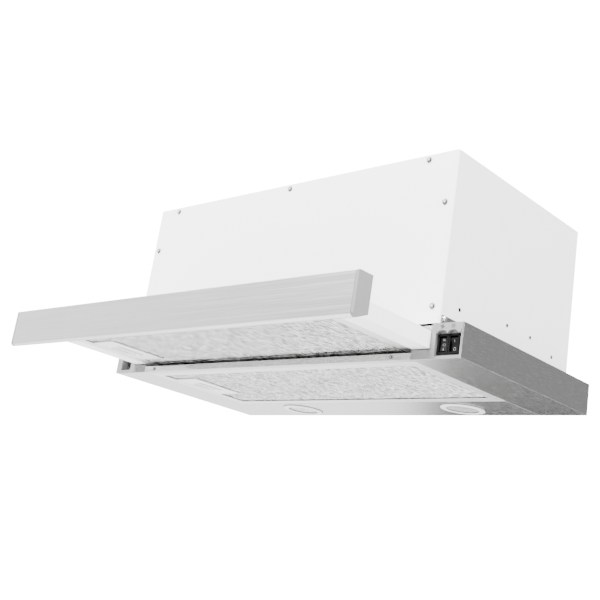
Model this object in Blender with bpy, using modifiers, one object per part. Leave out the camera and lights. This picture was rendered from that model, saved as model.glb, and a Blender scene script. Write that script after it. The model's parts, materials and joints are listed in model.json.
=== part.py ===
"""A slide-out range hood for a 60 cm wall cabinet, in metres.

+X is the switch side, -Y the user's side and +Z is up. The origin is the middle of the rear edge of the
plane in which the steel frame's top flange meets the underside of the cabinet. The drawer is pulled out
to its stop.
"""

import math

import bmesh
import bpy
from mathutils import Matrix, Vector

# Clearances
GAP = 0.0003
RUNNING_GAP = 0.0005

# Steel frame: what shows below the cabinet
FRAME_WIDTH = 0.598
FRAME_DEPTH = 0.276
FRAME_HEIGHT = 0.0395
FRAME_SHEET = 0.0008
SIDE_STRIP = 0.0661
LAMP_STRIP = 0.079
LIP_HEIGHT = 0.0105
CROSSBAR_HEIGHT = 0.0076
CROSSBAR_DEPTH = 0.009

# White housing: what goes up into the cabinet
SEAT_WIDTH = 0.0333
HOUSING_WIDTH = FRAME_WIDTH - 2 * SEAT_WIDTH
HOUSING_TOP = 0.2065
HOUSING_SHEET = 0.0008
HOUSING_FLANGE = 0.022
HOUSING_DROP = 0.0018
COVER_FOOT = 0.0005
COVER_BEND = 0.003
ANGLE_WIDTH = 0.018
SIDE_HOLE_RADIUS = 0.0025

# Drawer
DRAWER_SIDE_GAP = 0.0091
DRAWER_WIDTH = HOUSING_WIDTH - 2 * DRAWER_SIDE_GAP
DRAWER_LENGTH = 0.240
DRAWER_TRAVEL = 0.1525
CLOSED_GAP = 0.0015
DRAWER_FLOOR = 0.0121
DRAWER_SIDE = 0.0194
DRAWER_SHEET = 0.001
DRAWER_LEDGE = 0.0243
DRAWER_LIP = 0.006
RUNNER_HEIGHT = 0.012
GUIDE_SHEET = 0.001

# Fascia on the drawer's front
FASCIA_INSET = 0.0008
FASCIA_WIDTH = FRAME_WIDTH - 2 * FASCIA_INSET
FASCIA_THICKNESS = 0.0215
FASCIA_ABOVE_SEAT = 0.0003
FASCIA_DROP = 0.0071
FASCIA_ROUND = 0.005
FASCIA_TOP_ROUND = 0.0015
FASCIA_SHEET = 0.0008
FASCIA_RETURN = 0.015
CAP_THICKNESS = 0.004
CAP_PLUG = 0.012

# Grease filters
FILTER_DEPTH = 0.186
FILTER_THICKNESS = 0.008
FILTER_RIM = 0.014
RIM_SHEET = 0.001
FILTER_CLEARANCE = 0.0004
LATCH_WIDTH = 0.041
LATCH_LENGTH = 0.085
LATCH_TRAVEL = 0.005
LATCH_RECESS = (0.014, 0.038, 0.005)

# Switches and the two end blocks
BLOCK_DEPTH = 0.024
BLOCK_FACE = 0.002
BLOCK_STEP = 0.0105
RECESS_DEPTH = 0.005
ROCKER_ANGLE = math.radians(10)
ROCKER_WIDTH = 0.0092
SWITCH_WIDTH = 0.0139
SWITCH_HEIGHT = 0.0225
SWITCH_FOOT = 0.0055
POCKET_REACH = 0.0089

# Lamps
LAMP_SPACING = 0.286
LAMP_RADIUS = 0.0295
LAMP_LENS_RADIUS = 0.0235

# Outlet collar with its two flaps
COLLAR_RADIUS = 0.060
COLLAR_WALL = 0.002
COLLAR_HEIGHT = 0.030
FLAP_PIN_RADIUS = 0.0012
FLAP_SPREAD = 0.004
FLAP_HEIGHT = 0.0088
FLAP_BARREL = 0.0024

# Blower
SCROLL_WIDTH = 0.110
SCROLL_WALL = 0.002
SCROLL_FAR = 0.092
SCROLL_NEAR = 0.072
IMPELLER_RADIUS = 0.064
IMPELLER_WIDTH = 0.096
INLET_RADIUS = 0.054
MOTOR_RADIUS = 0.040
MOTOR_START = 0.0095
SHAFT_RADIUS = 0.004

# Planes and places that follow from the sizes above
FRONT = -FRAME_DEPTH
UNDER = -FRAME_HEIGHT
FRAME_HALF = FRAME_WIDTH / 2
UNDER_OPENING_HALF = FRAME_HALF - SIDE_STRIP
HOUSING_HALF = HOUSING_WIDTH / 2
DRAWER_HALF = DRAWER_WIDTH / 2
DRAWER_BASE = UNDER + DRAWER_FLOOR
DRAWER_TOP = DRAWER_BASE + DRAWER_SIDE
DRAWER_OPENING_HALF = DRAWER_HALF - DRAWER_LEDGE
FASCIA_BACK = FRONT - CLOSED_GAP - DRAWER_TRAVEL
FASCIA_FRONT = FASCIA_BACK - FASCIA_THICKNESS
FASCIA_HALF = FASCIA_WIDTH / 2
DRAWER_FRONT = FASCIA_BACK + GAP
DRAWER_REAR = DRAWER_FRONT + DRAWER_LENGTH
REAR_FILTER_FRONT = FRONT + CROSSBAR_DEPTH + 0.001
FRONT_FILTER_FRONT = DRAWER_FRONT + 0.007
BLOCK_INNER = DRAWER_HALF + 0.0014
GUIDE_FRONT = FRONT + BLOCK_DEPTH + 0.008
SWITCH_LOW = UNDER + SWITCH_FOOT
SWITCH_HIGH = SWITCH_LOW + SWITCH_HEIGHT
SWITCH_MIDDLE = (SWITCH_LOW + SWITCH_HIGH) / 2
SWITCH_LEFT = FRAME_HALF - 0.0351
SWITCH_FRONT = FRONT + RECESS_DEPTH - 0.0012
ROCKER_PIVOT_Y = FRONT + RECESS_DEPTH + 0.0062
LAMP_Y = -LAMP_STRIP / 2 - 0.001
SCROLL_Y = FRONT + GAP + 0.115
SCROLL_Z = HOUSING_TOP - 0.111
OUTLET_Y = SCROLL_Y + SCROLL_FAR / 2
TERMINAL = (-0.160, FRONT + 0.220)


# Helpers


def clear_scene():
    for obj in list(bpy.data.objects):
        bpy.data.objects.remove(obj)


def collection(name, hidden=False):
    made = bpy.data.collections.new(name)
    bpy.context.scene.collection.children.link(made)
    made.hide_render = hidden
    return made


def material(name, colour, roughness, metallic=0.0):
    made = bpy.data.materials.new(name)
    made.use_nodes = True
    shader = made.node_tree.nodes["Principled BSDF"]
    shader.inputs["Base Color"].default_value = (*colour, 1.0)
    shader.inputs["Roughness"].default_value = roughness
    shader.inputs["Metallic"].default_value = metallic
    made.diffuse_color = (*colour, 1.0)
    return made


def part(name, bm, finish, smooth=False):
    """Turns a bmesh into a named part with its own material."""
    bmesh.ops.recalc_face_normals(bm, faces=bm.faces)
    mesh = bpy.data.meshes.new(name)
    bm.to_mesh(mesh)
    bm.free()
    obj = bpy.data.objects.new(name, mesh)
    parts.objects.link(obj)
    colour, roughness, metallic = finish
    mesh.materials.append(material(name, colour, roughness, metallic))
    if smooth:
        mesh.shade_smooth()
        mesh.set_sharp_from_angle(angle=math.radians(35))
    return obj


def block(name, low, high, finish, bevel=0.0):
    """A rectangular block between two corners, its edges rounded where bevel is given."""
    low, high = Vector(low), Vector(high)
    bm = bmesh.new()
    bmesh.ops.create_cube(bm, size=1.0, matrix=Matrix.Diagonal((*(high - low), 1.0)))
    obj = part(name, bm, finish)
    obj.location = (low + high) / 2
    if bevel:
        rounded(obj, bevel)
    return obj


def rounded(obj, width, segments=2):
    bevel = obj.modifiers.new("edges", "BEVEL")
    bevel.width = width
    bevel.segments = segments
    bevel.limit_method = "ANGLE"
    bevel.angle_limit = math.radians(40)


PLANES = {
    "xy": Matrix.Identity(3),
    "xz": Matrix(((1, 0, 0), (0, 0, -1), (0, 1, 0))),
    "yz": Matrix(((0, 0, 1), (1, 0, 0), (0, 1, 0))),
}
NORMALS = {"xy": Vector((0, 0, 1)), "xz": Vector((0, 1, 0)), "yz": Vector((1, 0, 0))}


def flat_part(name, outline, plane, start, end, finish, holes=()):
    """An outline in one plane, given its thickness between two places on the plane's normal."""
    curve = bpy.data.curves.new(name, "CURVE")
    curve.dimensions = "2D"
    curve.fill_mode = "BOTH"
    curve.extrude = abs(end - start) / 2
    for loop in (outline, *holes):
        spline = curve.splines.new("POLY")
        spline.points.add(len(loop) - 1)
        spline.use_cyclic_u = True
        for point, (u, v) in zip(spline.points, loop):
            point.co = (u, v, 0.0, 1.0)
    helper = bpy.data.objects.new(name + "_outline", curve)
    parts.objects.link(helper)
    graph = bpy.context.evaluated_depsgraph_get()
    mesh = bpy.data.meshes.new_from_object(helper.evaluated_get(graph))
    bm = bmesh.new()
    bm.from_mesh(mesh)
    bmesh.ops.remove_doubles(bm, verts=bm.verts, dist=0.00001)
    obj = part(name, bm, finish)
    middle = (start + end) / 2
    obj.matrix_world = Matrix.Translation(NORMALS[plane] * middle) @ PLANES[plane].to_4x4()
    bpy.data.objects.remove(helper)
    bpy.data.meshes.remove(mesh)
    return obj


def folded_sheet(name, path, plane, start, end, thickness, finish):
    """A sheet bent along a path, with its thickness on the left of the path."""
    turn = PLANES[plane]
    length = end - start
    bm = bmesh.new()
    near = [bm.verts.new((u, v, 0.0)) for u, v in path]
    far = [bm.verts.new((u, v, length)) for u, v in path]
    for i in range(len(path) - 1):
        bm.faces.new((near[i], near[i + 1], far[i + 1], far[i]))
    mesh = bpy.data.meshes.new(name)
    bm.to_mesh(mesh)
    bm.free()
    obj = bpy.data.objects.new(name, mesh)
    parts.objects.link(obj)
    colour, roughness, metallic = finish
    mesh.materials.append(material(name, colour, roughness, metallic))
    first_end = end if plane == "xz" else start
    obj.matrix_world = Matrix.Translation(NORMALS[plane] * first_end) @ turn.to_4x4()
    shell = obj.modifiers.new("sheet", "SOLIDIFY")
    shell.thickness = thickness
    shell.offset = -1.0
    shell.use_even_offset = True
    return obj


def pointing(axis):
    """The rotation that turns +Z to the axis."""
    return Vector((0, 0, 1)).rotation_difference(Vector(axis)).to_matrix().to_4x4()


def turned(name, profile, base, axis, finish, steps=32, ring=False):
    """A solid of revolution from a profile of (radius, height) points above the base."""
    pairs = zip(profile, profile[1:] + profile[:1])
    area = sum(a[0] * b[1] - b[0] * a[1] for a, b in pairs)
    if area > 0:
        profile = profile[::-1]
    bm = bmesh.new()
    verts = [bm.verts.new((radius, 0.0, height)) for radius, height in profile]
    pairs = list(zip(verts, verts[1:]))
    if ring:
        pairs.append((verts[-1], verts[0]))
    for pair in pairs:
        bm.edges.new(pair)
    mesh = bpy.data.meshes.new(name)
    bm.to_mesh(mesh)
    bm.free()
    obj = bpy.data.objects.new(name, mesh)
    parts.objects.link(obj)
    colour, roughness, metallic = finish
    mesh.materials.append(material(name, colour, roughness, metallic))
    obj.matrix_world = Matrix.Translation(Vector(base)) @ pointing(axis)
    screw = obj.modifiers.new("turn", "SCREW")
    screw.steps = steps
    screw.render_steps = steps
    screw.use_merge_vertices = True
    screw.merge_threshold = 0.00001
    screw.use_smooth_shade = True
    return obj


def cutter(name, bm):
    mesh = bpy.data.meshes.new(name)
    bmesh.ops.recalc_face_normals(bm, faces=bm.faces)
    bm.to_mesh(mesh)
    bm.free()
    obj = bpy.data.objects.new(name, mesh)
    cutters.objects.link(obj)
    obj.hide_render = True
    obj.display_type = "WIRE"
    return obj


def combine(target, tool, operation="DIFFERENCE"):
    boolean = target.modifiers.new(tool.name, "BOOLEAN")
    boolean.object = tool
    boolean.operation = operation


def cut_boxes(name, targets, boxes):
    """Cuts rectangular blocks, each between two corners, out of the targets."""
    bm = bmesh.new()
    for low, high in boxes:
        low, high = Vector(low), Vector(high)
        place = Matrix.Translation((low + high) / 2) @ Matrix.Diagonal((*(high - low), 1.0))
        bmesh.ops.create_cube(bm, size=1.0, matrix=place)
    tool = cutter(name, bm)
    for target in targets:
        combine(target, tool)


def drill(name, targets, places, radius, axis, depth, segments=16):
    """Cuts round holes, centred on the places, out of the targets."""
    bm = bmesh.new()
    for place in places:
        matrix = Matrix.Translation(Vector(place)) @ pointing(axis)
        bmesh.ops.create_cone(
            bm, cap_ends=True, segments=segments, radius1=radius, radius2=radius, depth=depth, matrix=matrix
        )
    tool = cutter(name, bm)
    for target in targets:
        combine(target, tool)


def screws(
    name, places, axis, finish, head=0.0032, head_height=0.0018, shank=0.0014, length=0.006, segments=12
):
    """Pan-head screws whose head's underside is at each place and whose shank points along the axis."""
    profile = [
        (0.0, -head_height),
        (head * 0.8, -head_height),
        (head, -head_height * 0.4),
        (head, 0.0),
        (shank, 0.0),
        (shank, length),
        (0.0, length),
    ]
    bm = bmesh.new()
    verts = [bm.verts.new((radius, 0.0, height)) for radius, height in profile]
    edges = [bm.edges.new(pair) for pair in zip(verts, verts[1:])]
    bmesh.ops.spin(bm, geom=verts + edges, axis=(0, 0, 1), angle=2 * math.pi, steps=segments, use_merge=True)
    bmesh.ops.remove_doubles(bm, verts=bm.verts, dist=0.000001)
    one = bpy.data.meshes.new(name + "_one")
    bm.to_mesh(one)
    bm.clear()
    for place in places:
        before = len(bm.verts)
        bm.from_mesh(one)
        bm.verts.ensure_lookup_table()
        matrix = Matrix.Translation(Vector(place)) @ pointing(axis)
        bmesh.ops.transform(bm, verts=bm.verts[before:], matrix=matrix)
    bpy.data.meshes.remove(one)
    return part(name, bm, finish)


def as_tool(obj):
    """Moves a piece to the cutters, so that it only shapes other pieces."""
    parts.objects.unlink(obj)
    cutters.objects.link(obj)
    obj.hide_render = True
    obj.display_type = "WIRE"
    return obj


def join(target, *others):
    """Unites other pieces with the target into one solid."""
    for other in others:
        combine(target, as_tool(other), "UNION")


def pivot(name, place, *pieces):
    """Parents pieces to an empty on their joint's axis, leaving them where they are."""
    bpy.context.view_layer.update()
    empty = bpy.data.objects.new(name, None)
    empty.empty_display_size = 0.02
    parts.objects.link(empty)
    empty.location = place
    for piece in pieces:
        piece.parent = empty
        piece.matrix_parent_inverse = Matrix.Translation(-Vector(place))
    return empty


def mirrored_path(path):
    """The same path on the other side, run the other way so that its thickness stays on the left."""
    return [(-u, v) for u, v in reversed(path)]


def arc(centre, radius, start, end, count):
    """Points on an arc, in degrees."""
    points = []
    for i in range(count + 1):
        angle = math.radians(start + (end - start) * i / count)
        points.append((centre[0] + radius * math.cos(angle), centre[1] + radius * math.sin(angle)))
    return points


# Finishes: colour, roughness, metallic
STEEL = ((0.62, 0.62, 0.62), 0.32, 1.0)
WHITE = ((0.86, 0.86, 0.85), 0.35, 0.0)
ALUMINIUM = ((0.72, 0.72, 0.72), 0.38, 1.0)
ZINC = ((0.55, 0.55, 0.56), 0.4, 1.0)
GREY_PLASTIC = ((0.52, 0.52, 0.53), 0.45, 0.0)
DARK_PLASTIC = ((0.03, 0.03, 0.03), 0.35, 0.0)
PALE_PLASTIC = ((0.75, 0.75, 0.74), 0.4, 0.0)
RUBBER = ((0.02, 0.02, 0.02), 0.7, 0.0)
LENS = ((0.90, 0.90, 0.88), 0.3, 0.0)
BRASS = ((0.60, 0.45, 0.20), 0.3, 1.0)


# Steel frame


def side_rail(name, side):
    """A C-shaped rail with the underside strip, the outer wall, the top flange and its upturned lip."""
    inner = UNDER_OPENING_HALF
    wall = HOUSING_HALF + GAP
    path = [
        (wall + FRAME_SHEET, LIP_HEIGHT),
        (wall + FRAME_SHEET, 0.0),
        (FRAME_HALF, 0.0),
        (FRAME_HALF, UNDER),
        (inner, UNDER),
    ]
    # Run from the inner edge outwards and up, the sheet's thickness is on the left.
    path = list(reversed(path)) if side > 0 else [(-u, v) for u, v in path]
    rail = folded_sheet(name, path, "xz", FRONT, 0.0, FRAME_SHEET, STEEL)
    cut_boxes(
        name + "_front_notch",
        [rail],
        [
            (
                (side * (inner - 0.01), FRONT - 0.01, UNDER - 0.01),
                (side * (FRAME_HALF - FRAME_SHEET), FRONT + BLOCK_FACE + GAP, 0.02),
            )
        ],
    )
    return rail


def lamp_panel():
    """The rear strip of the underside, with the rear wall and a lip beside the filter."""
    front = -LAMP_STRIP
    path = [
        (front, UNDER + CROSSBAR_HEIGHT),
        (front, UNDER),
        (0.0, UNDER),
        (0.0, -FRAME_SHEET - GAP),
    ]
    half = UNDER_OPENING_HALF - GAP
    panel = folded_sheet("lamp_panel", path, "yz", -half, half, FRAME_SHEET, STEEL)
    places = [(side * LAMP_SPACING / 2, LAMP_Y, UNDER) for side in (-1, 1)]
    drill("lamp_holes", [panel], places, LAMP_LENS_RADIUS + 0.003 + GAP, (0, 0, 1), 0.01, 48)
    return panel


def crossbar():
    """The front bar below the drawer."""
    path = [
        (FRONT + CROSSBAR_DEPTH, UNDER),
        (FRONT, UNDER),
        (FRONT, UNDER + CROSSBAR_HEIGHT),
        (FRONT + CROSSBAR_DEPTH * 0.6, UNDER + CROSSBAR_HEIGHT),
    ]
    path = list(reversed(path))
    half = UNDER_OPENING_HALF - GAP
    bar = folded_sheet("crossbar", path, "yz", -half, half, FRAME_SHEET, STEEL)
    places = [(x, FRONT, UNDER + CROSSBAR_HEIGHT / 2) for x in (-half + 0.021, half - 0.027)]
    drill("crossbar_screw_holes", [bar], places, 0.0014 + GAP, (0, 1, 0), 0.003, 12)
    for side, (x, y, z) in zip(("left", "right"), places):
        name = "crossbar_screw_" + side
        screws(name, [(x, y - GAP, z)], (0, 1, 0), ZINC, head=0.0022, head_height=0.0008, length=0.004)
    return bar


# Housing


def housing_wrap():
    """One sheet bent into both side walls and the top, with a flange turned in at each foot."""
    foot = -HOUSING_DROP
    inner = HOUSING_HALF - HOUSING_FLANGE
    path = [
        (-inner, foot),
        (-HOUSING_HALF, foot),
        (-HOUSING_HALF, HOUSING_TOP),
        (HOUSING_HALF, HOUSING_TOP),
        (HOUSING_HALF, foot),
        (inner, foot),
    ]
    path = list(reversed(path))
    wrap = folded_sheet("housing_wrap", path, "xz", FRONT + COVER_BEND + GAP, 0.0, HOUSING_SHEET, WHITE)
    drill("outlet_hole", [wrap], [(0, OUTLET_Y, HOUSING_TOP)], COLLAR_RADIUS - 0.001, (0, 0, 1), 0.02, 48)
    return wrap


def side_holes(wrap):
    """Four fixing holes through each side wall."""
    low, high = 0.0255, 0.0358
    heights = ((0.035, low), (0.132, high), (0.184, high), (0.237, low))
    places = []
    for side in (-1, 1):
        for from_front, height in heights:
            places.append((side * HOUSING_HALF, FRONT + from_front, height))
    drill("side_fixing_holes", [wrap], places, SIDE_HOLE_RADIUS, (1, 0, 0), 0.01, 16)


def front_cover():
    """The front panel, bent back round both vertical edges."""
    r = COVER_BEND
    edge = HOUSING_HALF
    path = arc((edge - r, FRONT + r), r, 0, -90, 4) + arc((-edge + r, FRONT + r), r, -90, -180, 4)
    path = list(reversed(path))
    cover = folded_sheet("front_cover", path, "xy", COVER_FOOT, HOUSING_TOP, HOUSING_SHEET, WHITE)
    return cover


def cover_angles():
    """Three angle strips inside the housing's front edge, which the cover is screwed to."""
    behind = FRONT + HOUSING_SHEET + GAP
    wall = HOUSING_HALF - HOUSING_SHEET - GAP
    roof = HOUSING_TOP - HOUSING_SHEET - GAP
    foot = COVER_FOOT + 0.001
    side_path = [
        (wall - ANGLE_WIDTH, behind),
        (wall - COVER_BEND, behind),
        (wall, behind + COVER_BEND),
        (wall, FRONT + ANGLE_WIDTH),
    ]
    top = roof - ANGLE_WIDTH - GAP
    right = folded_sheet("cover_angle_right", side_path, "xy", foot, top, HOUSING_SHEET, WHITE)
    left = folded_sheet("cover_angle_left", mirrored_path(side_path), "xy", foot, top, HOUSING_SHEET, WHITE)
    roof_path = [
        (FRONT + ANGLE_WIDTH, roof),
        (behind, roof),
        (behind, roof - ANGLE_WIDTH),
    ]
    half = wall - COVER_BEND
    upper = folded_sheet("cover_angle_top", roof_path, "yz", -half, half, HOUSING_SHEET, WHITE)
    return [right, left, upper]


def rear_panel():
    """The rear wall, with its edges turned forward inside the side walls."""
    edge = HOUSING_HALF - HOUSING_SHEET - GAP
    path = [(-edge, -0.012), (-edge, 0.0), (edge, 0.0), (edge, -0.012)]
    path = list(reversed(path))
    foot = -HOUSING_DROP + HOUSING_SHEET + GAP
    top = HOUSING_TOP - HOUSING_SHEET - GAP
    return folded_sheet("rear_panel", path, "xy", foot, top, HOUSING_SHEET, WHITE)


def cover_rivets(cover, angles):
    """Seven rivets set in the cover: three along the top edge and two down each side."""
    top = HOUSING_TOP - 0.006
    upper = HOUSING_TOP - 0.063
    lower = COVER_FOOT + 0.020
    places = [(x, top) for x in (-0.224, 0.0, 0.224)]
    side = HOUSING_HALF - 0.0117
    for x in (-side, side):
        places.append((x, upper))
        places.append((x, lower))
    points = [(x, FRONT, z) for x, z in places]
    drill("cover_rivet_holes", angles, points, 0.0014 + GAP, (0, 1, 0), 0.02, 12)
    join(cover, screws("cover_rivets", points, (0, 1, 0), ZINC, length=0.004))


def rail_screw(name, sheets, side):
    """A screw through the front end of a rail's lip, the housing's wall and the angle behind it."""
    outside = HOUSING_HALF + 2 * GAP + FRAME_SHEET
    place = (side * outside, FRONT + 0.0075, LIP_HEIGHT - 0.0035)
    drill(name + "_hole", sheets, [place], 0.0014 + GAP, (1, 0, 0), 0.02, 12)
    screws(name, [place], (-side, 0, 0), ZINC, head=0.003, head_height=0.0015, length=0.005)


# Control block and end block


def end_block_solid(name, side):
    """A plastic block that fills the open front of a rail and steps down under the drawer."""
    inner = UNDER_OPENING_HALF
    outer = FRAME_HALF - FRAME_SHEET - GAP
    tall = BLOCK_INNER
    step = UNDER + BLOCK_STEP

    def outline(margin, roof):
        points = [
            (inner + margin, UNDER + margin),
            (outer, UNDER + margin),
            (outer, roof),
            (tall, roof),
            (tall, step),
            (inner + margin, step),
        ]
        return [(side * u, v) for u, v in points]

    solid = flat_part(name, outline(0.0, 0.0), "xz", FRONT, FRONT + BLOCK_FACE, GREY_PLASTIC)
    behind = outline(FRAME_SHEET + GAP, -HOUSING_DROP - GAP)
    start = FRONT + BLOCK_FACE - 0.0005
    body = flat_part(name + "_body", behind, "xz", start, FRONT + BLOCK_DEPTH, GREY_PLASTIC)
    join(solid, body)
    return solid


def control_block():
    block_solid = end_block_solid("control_block", 1)
    recess = (
        (SWITCH_LEFT - 0.0005, FRONT - 0.01, UNDER + 0.0024),
        (SWITCH_LEFT + 0.0324, FRONT + RECESS_DEPTH, UNDER + 0.032),
    )
    opening = (
        (SWITCH_LEFT, FRONT, SWITCH_LOW - GAP),
        (SWITCH_LEFT + 2 * SWITCH_WIDTH + 3 * GAP, FRONT + BLOCK_DEPTH + 0.01, SWITCH_HIGH + GAP),
    )
    cut_boxes("switch_recess", [block_solid], [recess])
    cut_boxes("switch_opening", [block_solid], [opening])
    return block_solid


def end_block():
    solid = end_block_solid("end_block", -1)
    right = -BLOCK_INNER - 0.009
    left = right - 0.021
    recess = ((left, FRONT - 0.01, UNDER + 0.004), (right, FRONT + 0.014, UNDER + 0.030))
    cut_boxes("buffer_recess", [solid], [recess])
    centre = ((left + right) / 2, FRONT + 0.014 - GAP, UNDER + 0.017)
    dome = [(0, 0.008), (0.005, 0.008), (0.0065, 0.0065), (0.0065, 0.003)]
    profile = dome + [(0.009, 0.003), (0.009, 0), (0, 0)]
    turned("buffer", profile, centre, (0, -1, 0), RUBBER, 24)
    return solid


def rocker_section():
    """Half of the rocker's section round its pivot, front to back, as (y, z) points above the middle."""
    return [(-0.0056, 0.0076), (-0.0020, 0.0083), (0.0030, 0.0070)]


def switch(name, index, tilt):
    """A rocker switch: its black body with a pocket, and the rocker on its pivot."""
    left = SWITCH_LEFT + GAP + index * (SWITCH_WIDTH + GAP)
    right = left + SWITCH_WIDTH
    body = block(
        name + "_switch_body",
        (left, SWITCH_FRONT, SWITCH_LOW),
        (right, FRONT + 0.022, SWITCH_HIGH),
        DARK_PLASTIC,
    )
    middle = (left + right) / 2
    pocket = ROCKER_WIDTH / 2 + GAP
    low = (middle - pocket, SWITCH_FRONT - 0.01, SWITCH_MIDDLE - POCKET_REACH)
    high = (middle + pocket, ROCKER_PIVOT_Y + 0.006, SWITCH_MIDDLE + POCKET_REACH)
    cut_boxes(name + "_switch_pocket", [body], [(low, high)])
    upper = rocker_section()
    lower = [(y, -z) for y, z in reversed(upper)]
    outline = [(-0.0046, 0.0)] + upper + lower
    turn = Matrix.Rotation(tilt, 2)
    outline = [turn @ Vector(point) for point in outline]
    outline = [(ROCKER_PIVOT_Y + y, SWITCH_MIDDLE + z) for y, z in outline]
    half = ROCKER_WIDTH / 2
    rocker = flat_part(name + "_rocker", outline, "yz", middle - half, middle + half, DARK_PLASTIC)
    pivot(name + "_rocker_axis", (middle, ROCKER_PIVOT_Y, SWITCH_MIDDLE), rocker)
    return rocker


# Drawer


def drawer_frame():
    """A tray with no floor: two folded sides with ledges for the filter, and three cross members."""
    top = DRAWER_TOP
    base = DRAWER_BASE
    side_path = [
        (DRAWER_OPENING_HALF, base),
        (DRAWER_HALF, base),
        (DRAWER_HALF, top),
        (DRAWER_HALF - DRAWER_LIP, top),
    ]
    right = folded_sheet("drawer_frame", side_path, "xz", DRAWER_FRONT, DRAWER_REAR, DRAWER_SHEET, WHITE)
    left_path = mirrored_path(side_path)
    left = folded_sheet("drawer_left_side", left_path, "xz", DRAWER_FRONT, DRAWER_REAR, DRAWER_SHEET, WHITE)
    half = DRAWER_HALF - DRAWER_SHEET / 2
    low = base + 0.0001
    high = top - 0.0001
    front = block(
        "drawer_front_wall",
        (-half, DRAWER_FRONT + 0.0001, low),
        (half, DRAWER_FRONT + DRAWER_SHEET, high),
        WHITE,
    )
    behind_filter = FRONT_FILTER_FRONT + FILTER_DEPTH + RUNNING_GAP
    bar_end = (half, behind_filter + 0.008, low + 0.006)
    middle = block("drawer_middle_bar", (-half, behind_filter, low), bar_end, WHITE)
    rear = block(
        "drawer_rear_wall",
        (-half, DRAWER_REAR - DRAWER_SHEET, low),
        (half, DRAWER_REAR - 0.0001, high),
        WHITE,
    )
    join(right, left, front, middle, rear)
    return right


def fascia_section(margin):
    """The fascia's section drawn in by a margin, from its lower rear corner round the front."""
    bottom = UNDER - FASCIA_DROP
    back = FASCIA_BACK - margin
    slope = FASCIA_DROP / (FASCIA_THICKNESS - FASCIA_ROUND)
    rise = margin * (math.sqrt(1 + slope * slope) - slope)
    points = [(back, UNDER + rise)]
    centre = (FASCIA_FRONT + FASCIA_ROUND, bottom + FASCIA_ROUND)
    points += arc(centre, FASCIA_ROUND - margin, -90, -180, 5)
    small = FASCIA_TOP_ROUND
    if margin < small:
        centre = (FASCIA_FRONT + small, FASCIA_ABOVE_SEAT - small)
        points += arc(centre, small - margin, 180, 90, 2)
    else:
        points.append((FASCIA_FRONT + margin, FASCIA_ABOVE_SEAT - margin))
    points.append((back, FASCIA_ABOVE_SEAT - margin))
    return points


def fascia():
    """The steel skin: the section with a return turned in at the lower and the upper rear edge."""
    section = fascia_section(0.0)
    path = [(FASCIA_BACK, UNDER + FASCIA_RETURN)] + section
    path.append((FASCIA_BACK, FASCIA_ABOVE_SEAT - FASCIA_RETURN * 0.8))
    half = FASCIA_HALF - CAP_THICKNESS
    return folded_sheet("fascia", path[::-1], "yz", -half, half, FASCIA_SHEET, STEEL)


def end_cap(name, side):
    """A plastic cap: a face of the fascia's section and a plug that goes inside the skin."""
    outer = side * FASCIA_HALF
    shoulder = side * (FASCIA_HALF - CAP_THICKNESS + GAP)
    cap = flat_part(name, fascia_section(0.0), "yz", shoulder, outer, GREY_PLASTIC)
    plug = flat_part(
        name + "_plug",
        fascia_section(FASCIA_SHEET + GAP),
        "yz",
        shoulder + side * 0.0005,
        shoulder - side * CAP_PLUG,
        GREY_PLASTIC,
    )
    join(cap, plug)
    return cap


def runner(name, side):
    """The plastic strip on the drawer's side that runs in the guide."""
    inner = DRAWER_HALF + GAP
    outer = HOUSING_HALF - HOUSING_SHEET - GAP - GUIDE_SHEET - RUNNING_GAP
    middle = DRAWER_BASE + DRAWER_SIDE / 2
    low = (side * inner, GUIDE_FRONT + 0.001, middle - RUNNER_HEIGHT / 2)
    high = (side * outer, DRAWER_REAR - 0.001, middle + RUNNER_HEIGHT / 2)
    corners = [tuple(map(min, low, high)), tuple(map(max, low, high))]
    return block(name, *corners, PALE_PLASTIC)


def drawer_guide(name, side):
    """The fixed guide: a channel for the runner, hung from the housing's bottom flange."""
    web = HOUSING_HALF - HOUSING_SHEET - GAP
    lips = DRAWER_HALF + RUNNING_GAP
    middle = DRAWER_BASE + DRAWER_SIDE / 2
    reach = RUNNER_HEIGHT / 2 + RUNNING_GAP
    t = GUIDE_SHEET
    top = -HOUSING_DROP - GAP
    hanger = HOUSING_HALF - HOUSING_FLANGE + 0.004
    outline = [
        (web, middle - reach - t),
        (web, top),
        (hanger, top),
        (hanger, top - t),
        (web - t, top - t),
        (web - t, middle + reach + t),
        (lips, middle + reach + t),
        (lips, middle + reach),
        (web - t, middle + reach),
        (web - t, middle - reach),
        (lips, middle - reach),
        (lips, middle - reach - t),
    ]
    outline = [(side * u, v) for u, v in outline]
    return flat_part(name, outline, "xz", GUIDE_FRONT, -0.014, ZINC)


# Filters


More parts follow.
